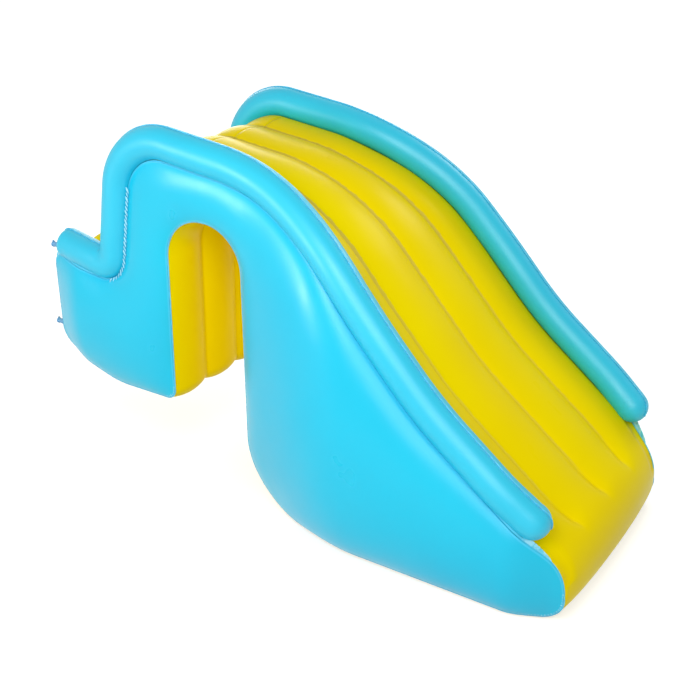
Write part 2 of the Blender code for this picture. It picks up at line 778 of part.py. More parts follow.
def rear_cap(ring):
    """Rings of the rear cap, from the valve hole out over its flat pad to the tube."""
    up = Vector((0.0, 0.0, 1.0))
    aside = Vector((0.0, 1.0, 0.0))
    pad_turn, pad_reach = rear_cap_pad()
    pad_middle = ring.middle - Vector((pad_reach, 0.0, RAIL_VALVE_DROP))
    rings = [Ring(pad_middle, up, aside, VALVE_HOLE_RADIUS)]
    rings.append(Ring(pad_middle, up, aside, VALVE_PAD_HALF + VALVE_RUNNING_GAP))
    for share in REAR_CAP_TURN_SHARES:
        turn = pad_turn * share
        back = RAIL_REAR_CAP_LENGTH * math.sin(turn)
        middle = ring.middle - Vector((back, 0.0, rear_cap_sag(back)))
        rings.append(Ring(middle, up, aside, RAIL_RADIUS * math.cos(turn), -turn))
    return rings


def front_cap(ring):
    forward = ring.aside.cross(ring.up)
    rings = []
    for degrees in FRONT_CAP_DEGREES:
        turn = math.radians(degrees)
        middle = ring.middle + forward * (RAIL_RADIUS * math.sin(turn))
        rings.append(Ring(middle, ring.up, ring.aside, RAIL_RADIUS * math.cos(turn), turn))
    return rings


def rail_tube(name, side):
    """A blown-up rail, open only at the valve hole in its rear cap."""
    rings = rail_rings(side)
    points = [point for ring in rings for point in ring.points()]
    faces = []
    for index in range(len(rings) - 1):
        here = index * RAIL_SIDES
        there = here + RAIL_SIDES
        for step in range(RAIL_SIDES):
            after = (step + 1) % RAIL_SIDES
            faces.append((here + step, there + step, there + after, here + after))
    faces.append(tuple(range(len(points) - 1, len(points) - 1 - RAIL_SIDES, -1)))
    return thicken(place(name, mesh_from(name, points, faces), VINYL_BLUE))


def rail_seam(name, side):
    """The weld that stands up along the top of a rail and over both its caps."""
    least = VALVE_PAD_HALF + RAIL_SEAM_END_GAP
    rings = [ring for ring in rail_rings(side) if ring.radius > least]
    return closed_loft(name, [ring.seam_section() for ring in rings])


def seam_path(number, step, reach):
    """Distance, point and normal of the stations from one on, to the first past the reach."""
    path = [(0.0, SEAM.points[number], SEAM.normals[number])]
    while path[-1][0] < reach:
        number = (number + step) % len(SEAM.points)
        run = (SEAM.points[number] - path[-1][1]).length
        path.append((path[-1][0] + run, SEAM.points[number], SEAM.normals[number]))
    return path


def on_path(path, distance):
    """The point and normal at a distance along a path of stations."""
    for before, after in zip(path, path[1:]):
        if distance <= after[0]:
            share = (distance - before[0]) / (after[0] - before[0])
            return before[1].lerp(after[1], share), before[2].lerp(after[2], share).normalized()
    return path[-1][1:]


def height_under_cap(base, normal, cap_middle, cap_length):
    """How far out from this point of the side seams the round end of a rail is."""
    squash = RAIL_RADIUS / cap_length
    to_cap = cap_middle - base
    to_cap.x *= squash
    ray = Vector((normal.x * squash, normal.y, normal.z))
    along = to_cap.dot(ray) / ray.length_squared
    aside = (to_cap - ray * along).length_squared
    return along - math.sqrt(max(RAIL_RADIUS**2 - aside, 0.0)) / ray.length


def rail_gusset(name, side, step):
    """The flat, puckered end of a rail's film, from under its cap down to the side seam."""
    middles = rail_axis(side)[0]
    cap_middle = middles[-1] if step > 0 else middles[0]
    cap_length = RAIL_RADIUS if step > 0 else RAIL_REAR_CAP_LENGTH
    cap_gap = GUSSET_FRONT_CAP_GAP if step > 0 else GUSSET_REAR_CAP_GAP
    length = GUSSET_FRONT_LENGTH if step > 0 else GUSSET_REAR_LENGTH
    number = RAIL_LAST - 1 if step > 0 else RAIL_FIRST + 1
    past = Vector((cap_middle.x, cap_middle.z)) - SEAM.points[number]
    start = step * past.dot(SEAM.tangent(number))
    path = seam_path(number, step, start + length)
    fold = (length - GUSSET_START) / (GUSSET_COLUMNS - 1)
    distances = [start + GUSSET_START + fold * column for column in range(GUSSET_COLUMNS)]
    distances += [mark[0] for mark in path if distances[0] < mark[0] < distances[-1]]
    reach = GUSSET_REACH_SHARE * cap_length
    foot = low_seam_top() + WELD_GAP
    rows = []
    for distance in sorted(distances):
        spot, normal = on_path(path, distance)
        peak, peak_normal = on_path(path, min(distance, start + reach))
        y = side * half_width(peak.x)
        out = Vector((peak_normal.x, 0.0, peak_normal.y))
        sag = 0.0 if step > 0 else rear_cap_sag(min(distance - start, reach))
        cap = cap_middle - Vector((0.0, 0.0, sag))
        top = height_under_cap(Vector((peak.x, y, peak.y)), out, cap, cap_length) - cap_gap
        left = min((start + length - distance) / (length - reach), 1.0)
        height = max((top - foot) * left, GUSSET_LEAST_HEIGHT)
        row = []
        for level in range(GUSSET_ROWS):
            share = level / (GUSSET_ROWS - 1)
            point = spot + normal * (foot + height * share)
            pucker = GUSSET_PUCKER * share * math.sin(GUSSET_FOLD_STEP * distance / fold)
            row.append((point.x, side * (half_width(spot.x) + pucker), point.y))
        rows.append(row)
    return thicken(sheet_from_rows(name, rows, VINYL_BLUE), 0.0)


# Air valves, each built along its own +Z and laid over to face the rear
def turned_solid(name, parent, profile, colour, is_ring):
    """A turned piece from a profile that runs down its outer side."""
    mesh = bpy.data.meshes.new(name)
    edges = [(index, index + 1) for index in range(len(profile) - 1)]
    if is_ring:
        edges.append((len(profile) - 1, 0))
    mesh.from_pydata([(radius, 0.0, height) for radius, height in profile], edges, [])
    item = place(name, mesh, colour, VALVE_ROUGHNESS)
    item.parent = parent
    turn = item.modifiers.new("turn", "SCREW")
    turn.steps = TURN_STEPS
    turn.render_steps = TURN_STEPS
    turn.use_merge_vertices = True
    turn.merge_threshold = TURN_MERGE
    return item


def join_strap(item, low, high, axis_x):
    """Join a hinge strap to a turned piece, from inside its rim out to the hinge line."""
    start = VALVE_RIM_RADIUS - VALVE_STRAP_THICKNESS
    reach = VALVE_HINGE_REACH - start
    block = bmesh.new()
    bmesh.ops.create_cube(block, size=1.0)
    bmesh.ops.scale(block, verts=block.verts, vec=(reach, VALVE_STRAP_WIDTH, high - low))
    mesh = bpy.data.meshes.new(item.name + "_strap")
    block.to_mesh(mesh)
    block.free()
    middle = (axis_x + start + reach / 2, 0.0, (low + high) / 2)
    add_boolean(item, mesh, "UNION", middle)


def valve_flange(name, seat):
    """The skirt welded to the skin and the flexible neck that the stem runs in."""
    skirt = VALVE_RUNNING_GAP + VALVE_FLANGE_THICKNESS
    profile = [
        (VALVE_NECK_BORE, VALVE_NECK_HEIGHT),
        (VALVE_NECK_TOP_RADIUS, VALVE_NECK_HEIGHT),
        (VALVE_NECK_FOOT_RADIUS, skirt + VALVE_FLANGE_THICKNESS),
        (VALVE_FLANGE_RADIUS, skirt),
        (VALVE_FLANGE_RADIUS, VALVE_RUNNING_GAP),
        (VALVE_NECK_BORE, VALVE_RUNNING_GAP),
    ]
    return turned_solid(name, seat, profile, VALVE_GREY, True)


def valve_stem(name, seat):
    """The tube that is pushed in, with its rim, its stop inside the skin and a hinge tab."""
    stop_top = -SHEET_THICKNESS - VALVE_RUNNING_GAP
    stop_low = stop_top - VALVE_STOP_THICKNESS
    rim_low = VALVE_STEM_LENGTH - VALVE_RIM_HEIGHT
    stop_radius = VALVE_HOLE_RADIUS + VALVE_STOP_LIP
    profile = [
        (VALVE_BORE_RADIUS, VALVE_STEM_LENGTH),
        (VALVE_RIM_RADIUS, VALVE_STEM_LENGTH),
        (VALVE_RIM_RADIUS, rim_low),
        (VALVE_STEM_RADIUS, rim_low),
        (VALVE_STEM_RADIUS, stop_top),
        (stop_radius, stop_top),
        (stop_radius, stop_low),
        (VALVE_STEM_RADIUS, stop_low),
        (VALVE_STEM_RADIUS, -VALVE_STEM_TAIL),
        (VALVE_BORE_RADIUS, -VALVE_STEM_TAIL),
    ]
    stem = turned_solid(name, seat, profile, VALVE_GREY, True)
    tab_top = VALVE_STEM_LENGTH - VALVE_RUNNING_GAP
    join_strap(stem, tab_top - VALVE_STRAP_THICKNESS, tab_top, 0.0)
    return stem


def valve_cap(name, seat):
    """The cap with its tapered plug and strap, under an empty on the strap's hinge line."""
    hinge = new_empty(name + "_hinge", seat, (VALVE_HINGE_REACH, 0.0, VALVE_STEM_LENGTH))
    plug_radius = VALVE_BORE_RADIUS - VALVE_PLUG_CLEARANCE
    seat_z = VALVE_RUNNING_GAP
    profile = [
        (0.0, seat_z + VALVE_CAP_THICKNESS),
        (VALVE_RIM_RADIUS - VALVE_RUNNING_GAP, seat_z + VALVE_CAP_THICKNESS),
        (VALVE_RIM_RADIUS, seat_z),
        (plug_radius, seat_z),
        (plug_radius - VALVE_PLUG_TAPER, seat_z - VALVE_PLUG_DEPTH),
        (0.0, seat_z - VALVE_PLUG_DEPTH),
    ]
    cap = turned_solid(name, hinge, profile, VALVE_BLUE, False)
    cap.location.x = -VALVE_HINGE_REACH
    join_strap(cap, seat_z, seat_z + VALVE_STRAP_THICKNESS, -VALVE_HINGE_REACH)
    return cap


def valve_flap(name, seat):
    """The check flap over the stem's inner end, under an empty on its hinge line."""
    top = -VALVE_STEM_TAIL - VALVE_RUNNING_GAP
    hinge = new_empty(name + "_hinge", seat, (VALVE_FLAP_RADIUS, 0.0, top))
    profile = [
        (0.0, 0.0),
        (VALVE_FLAP_RADIUS, 0.0),
        (VALVE_FLAP_RADIUS, -VALVE_FLAP_THICKNESS),
        (0.0, -VALVE_FLAP_THICKNESS),
    ]
    flap = turned_solid(name, hinge, profile, VALVE_GREY, False)
    flap.location.x = -VALVE_FLAP_RADIUS
    return flap


def new_empty(name, parent, location):
    empty = bpy.data.objects.new(name, None)
    PIECES.objects.link(empty)
    empty.parent = parent
    empty.location = location
    return empty


def air_valve(name, place_on_skin):
    """Flange, stem, cap and check flap of the valve whose flange sits at this place."""
    seat = new_empty(name + "_seat", ORIGIN, place_on_skin)
    seat.rotation_euler = FACING_REAR
    valve_flange(name + "_flange", seat)
    valve_stem(name + "_stem", seat)
    valve_cap(name + "_cap", seat)
    valve_flap(name + "_flap", seat)


def rail_valve_place(side):
    middle = rail_axis(side)[0][0]
    return middle - Vector((rear_cap_pad()[1], 0.0, RAIL_VALVE_DROP))


def build_body():
    ribbon_sheet("step_sheet", SEAM.first["step_end"], SEAM.last["riser_top"])
    ribbon_sheet("slide_deck_sheet", SEAM.last["riser_top"], SEAM.last["nose_foot"])
    ribbon_sheet("underside_sheet", SEAM.last["nose_foot"], SEAM.first["heel"])
    ribbon_sheet("slot_lining_sheet", SEAM.first["heel"], SEAM.last["slot_lip"])
    ribbon_sheet("sole_sheet", SEAM.last["slot_lip"], SEAM.first["sole_heel"])
    rear_sheet("rear_sheet")
    for name, across in (("near", -0.5), ("centre", 0.0), ("far", 0.5)):
        inner_web(name + "_inner_web", across)
    air_valve("body_valve", body_valve_place())


def build_side(name, side):
    side_panel(name + "_side_panel", side)
    perimeter_seam(name + "_perimeter_seam", side)
    rail_tube(name + "_rail_tube", side)
    rail_seam(name + "_rail_seam", side)
    rail_gusset(name + "_rail_front_gusset", side, 1)
    rail_gusset(name + "_rail_rear_gusset", side, -1)
    air_valve(name + "_rail_valve", rail_valve_place(side))


build_body()
build_side("near", NEAR)
build_side("far", FAR)
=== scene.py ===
"""Looks of the inflatable water slide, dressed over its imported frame. Metres, in the frame's axes."""

import math

import bmesh
import bpy
import numpy as np
from mathutils import Matrix, Vector
from mathutils.geometry import delaunay_2d_cdt


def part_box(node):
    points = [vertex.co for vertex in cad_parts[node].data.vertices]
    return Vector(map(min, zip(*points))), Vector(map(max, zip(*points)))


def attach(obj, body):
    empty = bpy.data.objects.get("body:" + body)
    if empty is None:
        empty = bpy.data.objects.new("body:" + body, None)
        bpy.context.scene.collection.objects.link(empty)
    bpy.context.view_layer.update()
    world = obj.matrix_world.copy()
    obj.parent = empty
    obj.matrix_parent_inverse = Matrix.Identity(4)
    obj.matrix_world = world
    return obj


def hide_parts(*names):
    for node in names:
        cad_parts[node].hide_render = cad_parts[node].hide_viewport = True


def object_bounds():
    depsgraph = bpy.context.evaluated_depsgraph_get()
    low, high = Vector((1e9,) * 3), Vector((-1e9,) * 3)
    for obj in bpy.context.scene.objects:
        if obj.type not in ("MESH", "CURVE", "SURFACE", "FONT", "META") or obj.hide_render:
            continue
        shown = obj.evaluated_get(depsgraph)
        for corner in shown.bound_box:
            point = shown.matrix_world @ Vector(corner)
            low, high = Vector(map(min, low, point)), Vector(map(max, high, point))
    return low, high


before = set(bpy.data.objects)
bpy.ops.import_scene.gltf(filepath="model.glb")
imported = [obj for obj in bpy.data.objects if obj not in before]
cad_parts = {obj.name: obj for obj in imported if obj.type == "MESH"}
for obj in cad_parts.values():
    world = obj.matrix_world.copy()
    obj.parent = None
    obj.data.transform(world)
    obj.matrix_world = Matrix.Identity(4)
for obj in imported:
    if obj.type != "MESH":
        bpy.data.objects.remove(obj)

CAD_LOW, CAD_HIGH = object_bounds()

# The side seams of the slide, in the slot's own frame: z counts up from the slide's foot
SLOT_WIDTH = 0.285
SLOT_HEIGHT = 0.925
BRIDGE_HEIGHT = 0.145
STEP_LEG_LENGTH = 0.540
STEP_LEG_HEIGHT = 0.357
TREAD_LENGTH = 0.341
TREAD_RISE = 0.040
RISER_HEIGHT = 0.460
RISER_LEAN = 0.078
SOLE_RISE = 0.085
SOLE_FLAT = 0.250
SLOT_LIP_LEAN = 0.014
CREST_REACH = 0.183
SLIDE_LENGTH = 0.915
NOSE_HEIGHT = 0.150
HEAD_WIDTH = 0.660
FOOT_WIDTH = 0.835
NOSE_DRAW = 0.050
NOSE_DRAW_LENGTH = 0.160
REAR_DRAW = 0.035
REAR_DRAW_LENGTH = 0.160
FLARE_LENGTH_SHARE = 0.30
PLATFORM_SLOPE_SHARE = 0.127
RUNOUT_REACH_SHARE = 0.4995
RUNOUT_LEVEL_SHARE = 0.420
LONGEST_FILLET_SHARE = 0.49
CORNER_RADII = {
    "step_end": 0.030,
    "tread_corner": 0.105,
    "riser_top": 0.140,
    "crest": 0.740,
    "runout": 1.300,
    "nose_top": 0.240,
    "nose_foot": 0.060,
    "heel": 0.225,
    "arch_front": 0.141,
    "arch_rear": 0.141,
    "slot_lip": 0.035,
    "sole_knee": 0.350,
    "sole_heel": 0.060,
}

# Film, welds and rails
FILM = 0.00045
WELD_GAP = 0.0003
RIDGE_CROWN = 0.018
FLOOR_CROWN = 0.014
NOSE_CROWN = 0.032
NOSE_FRONT_CROWN_SHARE = 0.55
RIDGE_FADE_LENGTH = 0.130
RIDGE_FADE_MARGIN = 0.020
NOSE_GROOVE = 0.019
NOSE_GROOVE_HALF = 0.019
NOSE_GROOVE_END = 0.030
NOSE_GROOVE_TIP = 0.045
NOSE_GROOVE_ROUNDNESS = 1.4
WEBS_ACROSS = (-0.5, 0.0, 0.5)
RIDGE_ROUNDNESS_SHARE = 0.8
NOSE_ROUNDNESS_SHARE = 0.55
PANEL_FULLNESS_SHARE = 0.375
PANEL_EDGE_EASE = 0.055
PANEL_EDGE_DROP = 0.0004
SEAM_THICKNESS = 0.0012
SEAM_FIN_HEIGHT = 0.004
SEAM_ROOT_DEPTH = 0.003
EDGE_SETBACK = SEAM_THICKNESS / 2 + WELD_GAP
RAIL_RADIUS = 0.052
RAIL_GAP = 0.0005
RAIL_INSET = 0.015
RAIL_SEAT_SHARE = 0.85
RAIL_REAR_SETBACK = 0.075
RAIL_FRONT_SETBACK = 0.100
RAIL_REAR_CAP_LENGTH = 0.045
RAIL_VALVE_DROP = 0.018
RAIL_SEAM_HEIGHT = 0.003
RAIL_SEAM_THICKNESS = 0.001
RAIL_SEAM_ROOT = 0.0012
RAIL_TURN_LENGTH = 0.05
GUSSET_FRONT_LENGTH = 0.120
GUSSET_REAR_LENGTH = 0.062
GUSSET_START = 0.020
GUSSET_LEAST_HEIGHT = 0.002
GUSSET_FRONT_CAP_GAP = 0.0009
GUSSET_REAR_CAP_GAP = 0.0045
GUSSET_REACH_SHARE = 0.80
GUSSET_FULLNESS = 0.62
FIN_REACH_UNDER_RAIL = 0.036
STATIONS_UNDER_CAP = 3
STATIONS_PAST_RAIL = 12

# Folds of the film beside its welds: depths, reaches and the pitch at which they repeat
SHEET_FOLD_DEPTH = 0.00055
SHEET_FOLD_PITCH = 0.021
SEAM_FOLD_REACH = 0.013
WEB_FOLD_REACH = 0.011
TIGHT_BEND = 22.0
PANEL_FOLD_DEPTH = 0.00025
PANEL_FOLD_MORE_DEPTH = 0.0013
PANEL_FOLD_REACH = 0.010
PANEL_FOLD_MORE_REACH = 0.012
PANEL_FOLD_PITCH = 0.017
SEAM_SCALLOP = 0.0004
SEAM_SCALLOP_PITCH = 0.013
SEAM_SWAY = 0.0005
SEAM_SWAY_PITCH = 0.019
RAIL_SCALLOP = 0.0005
RAIL_MORE_SCALLOP = 0.0011
RAIL_SCALLOP_PITCH = 0.011
RAIL_SWAY_PITCH = 0.017
RAIL_PUCKER = 0.0011
RAIL_UNDER_PUCKER = 0.0006
RAIL_PUCKER_PITCH = 0.0125
RAIL_CREASE = 0.00028
RAIL_CREASE_BEND = 12.0
RAIL_CREASE_PITCH = 0.024
CAP_GATHER = 0.0016
CAP_GATHER_START = 0.6
CAP_GATHERS = 22
NEAR_WELD_TURN = 0.20
UNDERNEATH_TURN = 0.35
GATHERED_SINE = 0.34
GUSSET_FOLD = 0.0030
GUSSET_FOLD_PITCH = 0.011
GUSSET_WAVE = 0.0011
GUSSET_SLACK_HEIGHT = 0.03

# Single folds that stand on a line: the crimp tree's inputs, and their values for each kind
FOLD_SIZES = ("Pitch", "Fold Length", "Fold Width", "Fold Height", "Slant", "Size Change")
BRAID_FOLDS = (0.0150, 0.0215, 0.0052, 0.0050, 0.60, 0.18)
RAIL_NIPS = (0.0105, 0.0026, 0.0058, 0.0012, 0.35, 0.18)
EDGE_FOLDS = (0.0085, 0.0030, 0.0085, 0.0022, 0.0, 0.18)
FOLD_SEGMENTS = 10
FOLD_RINGS = 6
FOLD_SEED = 7
BRAID_LIFT = -0.0030
BRAID_OUTSET = 0.0085
EDGE_FOLD_LIFT = -0.0045
EDGE_FOLD_OUTSET = 0.0020
NIP_TURN = 0.065
NIP_SINK = 0.0002
NIP_END_LEAN = 1.3

# The air valves, along their own axis from the skin outwards
VALVE_GAP = 0.0003
STEM_RADIUS = 0.0085
STEM_LENGTH = 0.044
STEM_TAIL = 0.010
BORE_RADIUS = 0.005
RIM_RADIUS = 0.0097
RIM_HEIGHT = 0.003
HOLE_RADIUS = 0.0096
NECK_HEIGHT = 0.018
NECK_BORE = 0.0088
NECK_TOP_RADIUS = 0.0115
NECK_FOOT_RADIUS = 0.0155
NECK_FOLDS = 4
NECK_FOLD_DEPTH = 0.00035
SKIRT_RADIUS = 0.021
SKIRT_THICKNESS = 0.001
SKIRT_FALL = 1.6
SKIRT_RIBS = 3
SKIRT_RIB_DEPTH = 0.00022
SKIRT_RIB_START = 0.3
PAD_HALF = 0.022
PAD_EASE = 0.016
PAD_SEAM_EASE = 0.009
STOP_REACH = 0.0012
STEM_GROOVES = 5
STEM_GROOVE_PITCH = 0.0042
STEM_GROOVE_HALF = 0.0006
STEM_GROOVE_DEPTH = 0.0003
CAP_THICKNESS = 0.0026
PLUG_DEPTH = 0.006
HINGE_REACH = 0.0135
STRAP_WIDTH = 0.006
STRAP_THICKNESS = 0.0016
FLAP_RADIUS = 0.0062
FLAP_THICKNESS = 0.0008
SOFT_EDGE = 0.00035

# How finely the looks are cut
STATION_STEP = 0.0085
STATION_DEGREES = 8
RIDGE_COLUMNS = 18
PANEL_STEP = 0.0125
PANEL_ROW_SHARE = 0.866
PANEL_RINGS = (0.0012, 0.003, 0.0055, 0.009, 0.0135, 0.019, 0.026, 0.035, 0.046)
PANEL_RING_CLEAR = 0.93
PANEL_FIELD_CLEAR = 0.6
PANEL_FINE_DEPTH = 0.02
PANEL_POINT_SHARE = 0.3
PANEL_POINT_GAP = 0.004
PANEL_MERGE = 1e-7
POINTS_AT_ONCE = 2000
LEAST_RISE = 1e-12
LEAST_ENERGY = 1e-16
SOLVER_ROUNDS = 900
RAIL_COLUMNS = 48
RAIL_EASE_STEPS = 6
RAIL_EASE_START = 8
RAIL_END_SHARE = 0.6
BEND_EASE_STEPS = 3
RAIL_WELD_END_RADIUS = PAD_HALF * 0.55
REAR_PAD_RADII = (HOLE_RADIUS, 0.013, 0.0165, 0.0195, PAD_HALF + VALVE_GAP)
REAR_PAD_ALONG = -0.07
REAR_CAP_RINGS = 18
FRONT_CAP_DEGREES = (5, 11, 17, 23, 29, 35, 41, 47, 53, 59, 65, 71, 77, 82, 86, 89)
GUSSET_FRONT_COLUMNS = 110
GUSSET_REAR_COLUMNS = 64
GUSSET_LEVELS = 14
GUSSET_SEARCH = 40
TURNED_STEPS = 40
TURNED_MERGE = 0.000004
NECK_CUTS = 25
SKIRT_CUTS = 22
STRAP_FACES = ((0, 1, 3, 2), (4, 6, 7, 5), (0, 4, 5, 1), (2, 3, 7, 6), (0, 2, 6, 4), (1, 5, 7, 3))

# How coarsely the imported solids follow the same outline
CAD_DEGREES = 20
CAD_ARC_STEP = 0.110
CAD_EDGE_STEP = 0.190


def smooth_step(value):
    """From 0 to 1 as the value goes from 0 to 1, with level ends."""
    value = np.clip(value, 0.0, 1.0)
    return value * value * (3.0 - 2.0 * value)


# The outline of the side seams
def seam_corners():
    """Corner name, x and z, from the rear of the step over the slide and back."""
    rear = -SLOT_WIDTH / 2 - STEP_LEG_LENGTH
    tread_x = rear + TREAD_LENGTH
    riser_x = tread_x + RISER_LEAN
    crest_x = SLOT_WIDTH / 2 + CREST_REACH
    bridge = SLOT_HEIGHT + BRIDGE_HEIGHT
    riser_z = bridge - PLATFORM_SLOPE_SHARE * riser_x
    crest_z = bridge - PLATFORM_SLOPE_SHARE * crest_x
    tread_z = riser_z - RISER_HEIGHT
    sole_z = tread_z - STEP_LEG_HEIGHT
    nose_x = crest_x + SLIDE_LENGTH
    nose_z = FLOOR_CROWN + NOSE_HEIGHT
    runout_z = nose_z + RUNOUT_LEVEL_SHARE * (crest_z - nose_z)
    lip_x = -SLOT_WIDTH / 2 - SLOT_LIP_LEAN
    return {
        "step_end": (rear, tread_z + TREAD_RISE),
        "tread_corner": (tread_x, tread_z),
        "riser_top": (riser_x, riser_z),
        "crest": (crest_x, crest_z),
        "runout": (crest_x + RUNOUT_REACH_SHARE * SLIDE_LENGTH, runout_z),
        "nose_top": (nose_x, nose_z),
        "nose_foot": (nose_x, FLOOR_CROWN),
        "heel": (SLOT_WIDTH / 2, FLOOR_CROWN),
        "arch_front": (SLOT_WIDTH / 2, SLOT_HEIGHT),
        "arch_rear": (-SLOT_WIDTH / 2, SLOT_HEIGHT),
        "slot_lip": (lip_x, sole_z),
        "sole_knee": (lip_x - SOLE_FLAT, sole_z),
        "sole_heel": (rear, sole_z + SOLE_RISE),
    }


CORNERS = seam_corners()
CORNER_NAMES = list(CORNERS)


class Outline:
    """Stations round the side seams: points, outward normals, distances along and bends."""

    def __init__(self, arc_degrees, arc_step, edge_step):
        points, normals, bends = [], [], []
        self.first, self.last = {}, {}
        arcs = [self.fillet(index, arc_degrees, arc_step) for index in range(len(CORNERS))]
        for index, name in enumerate(CORNER_NAMES):
            arc_points, arc_normals, bend = arcs[index]
            self.first[name] = len(points)
            points += arc_points
            normals += arc_normals
            bends += [bend] * len(arc_points)
            self.last[name] = len(points) - 1
            start, end = arc_points[-1], arcs[(index + 1) % len(arcs)][0][0]
            pieces = max(1, round(float(np.linalg.norm(end - start)) / edge_step))
            for step in range(1, pieces):
                points.append(start + (end - start) * step / pieces)
                normals.append(arc_normals[-1])
                bends.append(0.0)
        self.points = np.array(points)
        self.normals = np.array(normals)
        self.bends = np.array(bends)
        runs = np.linalg.norm(np.diff(self.points, axis=0, append=self.points[:1]), axis=1)
        self.along = np.concatenate([[0.0], np.cumsum(runs)[:-1]])
        self.length = float(runs.sum())

    @staticmethod
    def fillet(index, arc_degrees, arc_step):
        """Points, normals and bend of one rounded corner; the bend is below 0 in a hollow one."""
        corner = np.array(CORNERS[CORNER_NAMES[index]])
        before = corner - np.array(CORNERS[CORNER_NAMES[index - 1]])
        after = np.array(CORNERS[CORNER_NAMES[(index + 1) % len(CORNERS)]]) - corner
        turn = math.atan2(before[0] * after[1] - before[1] * after[0], before @ after)
        half = math.tan(abs(turn) / 2)
        shorter = min(np.linalg.norm(before), np.linalg.norm(after))
        reach = min(CORNER_RADII[CORNER_NAMES[index]] * half, LONGEST_FILLET_SHARE * shorter)
        radius = reach / half
        steps = max(2, math.ceil(math.degrees(abs(turn)) / arc_degrees))
        steps = max(steps, math.ceil(radius * abs(turn) / arc_step))
        ahead = before / np.linalg.norm(before)
        outward = np.array([-ahead[1], ahead[0]])
        side = -1.0 if turn > 0 else 1.0
        centre = corner - ahead * reach - outward * side * radius
        points, normals = [], []
        for step in range(steps + 1):
            angle = turn * step / steps
            cos, sin = math.cos(angle), math.sin(angle)
            x, z = outward[0] * cos - outward[1] * sin, outward[0] * sin + outward[1] * cos
            normal = np.array([x, z])
            points.append(centre + normal * side * radius)
            normals.append(normal)
        return points, normals, side / radius

    def span(self, start, end):
        """Numbers of the stations from one to another, on past the last one where need be."""
        count = len(self.points)
        stop = end + 1 if end >= start else end + count + 1
        return [number % count for number in range(start, stop)]


SEAM = Outline(STATION_DEGREES, STATION_STEP, STATION_STEP)
CAD_SEAM = Outline(CAD_DEGREES, CAD_ARC_STEP, CAD_EDGE_STEP)
FADE_START_X = CORNERS["nose_top"][0] - RIDGE_FADE_LENGTH


def half_width(x):
    """Half the distance between the side seams at this place along the slide."""
    flare_length = CORNERS["crest"][0] + FLARE_LENGTH_SHARE * SLIDE_LENGTH - SLOT_WIDTH / 2
    flare = smooth_step((x - SLOT_WIDTH / 2) / flare_length)
    at_nose = smooth_step((x - CORNERS["nose_top"][0] + NOSE_DRAW_LENGTH) / NOSE_DRAW_LENGTH)
    at_rear = smooth_step((CORNERS["step_end"][0] + REAR_DRAW_LENGTH - x) / REAR_DRAW_LENGTH)
    width = HEAD_WIDTH + (FOOT_WIDTH - HEAD_WIDTH) * flare
    return width / 2 - NOSE_DRAW * at_nose - REAR_DRAW * at_rear


def crimps(along, period, seed):
    """Uneven small folds along a weld, from -1 to 1, the same on every run."""
    phases = np.random.default_rng(seed).uniform(0.0, 2.0 * math.pi, 4)
    swell = 0.65 + 0.35 * np.sin(2.0 * math.pi * along / (7.3 * period) + phases[0])
    folds = 0.6 * np.sin(2.0 * math.pi * along / period + phases[1])
    folds += 0.25 * np.sin(2.0 * math.pi * along / (0.58 * period) + phases[2])
    folds += 0.15 * np.sin(2.0 * math.pi * along / (1.71 * period) + phases[3])
    return swell * folds


def dips(along, period, seed):
    """The same folds as they draw a blown film in, from -1 to 0."""
    return (crimps(along, period, seed) - 1.0) / 2


def fan_out(gap, reach):
    """How strong the folds are beside a weld: most at their reach, and none on it or far off."""
    return (gap / reach) * np.exp(1 - gap / reach)


def in_frame(points):
    """Points of the outline's own frame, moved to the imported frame's origin in the slot."""
    placed = np.array(points, float)
    placed[..., 2] -= SLOT_HEIGHT
    return placed


def in_scene(name, data):
    """A new object in the scene, from its mesh, lamp or camera."""
    made = bpy.data.objects.new(name, data)
    bpy.context.scene.collection.objects.link(made)
    return made


def new_piece(name, points, faces, materials, wall=0.0, uv=None, offset=-1.0):
    """A smooth mesh piece, given its film thickness where it has one, inwards unless told."""
    mesh = bpy.data.meshes.new(name)
    mesh.from_pydata(in_frame(points).tolist(), [], faces)
    mesh.update()
    mesh.shade_smooth()
    if uv is not None:
        layer = mesh.uv_layers.new(name="film")
        corners = np.zeros(len(mesh.loops), np.int32)
        mesh.loops.foreach_get("vertex_index", corners)
        layer.data.foreach_set("uv", np.asarray(uv, float)[corners].ravel())
    piece = in_scene(name, mesh)
    for material in materials:
        mesh.materials.append(material)
    if wall:
        film = piece.modifiers.new("film", "SOLIDIFY")
        film.thickness = wall
        film.offset = offset
    return piece


def close_solid(piece, merge=0.0):
    """Turn the faces outwards, after the points that lie within the merge distance are joined."""
    solid = bmesh.new()
    solid.from_mesh(piece.data)
    if merge:
        bmesh.ops.remove_doubles(solid, verts=solid.verts, dist=merge)
    bmesh.ops.recalc_face_normals(solid, faces=solid.faces)
    solid.to_mesh(piece.data)
    solid.free()


def dress(piece, body, slot, *nodes):
    """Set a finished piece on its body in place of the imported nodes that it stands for."""
    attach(piece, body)
    if nodes:
        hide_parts(*nodes)
    return piece


def dress_fine(make, node, body, slot, *given):
    """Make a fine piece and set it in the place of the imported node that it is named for."""
    return dress(make("fine_" + node, *given), body, slot, node)


def grid_faces(rows, columns, closed=False, flip=False):
    """Four-cornered faces between rows of points, each row closed into a ring or not."""
    faces = []
    for row in range(rows - 1):
        for column in range(columns if closed else columns - 1):
            after = (column + 1) % columns
            face = (
                row * columns + column,
                (row + 1) * columns + column,
                (row + 1) * columns + after,
                row * columns + after,
            )
            faces.append(face[::-1] if flip else face)
    return faces


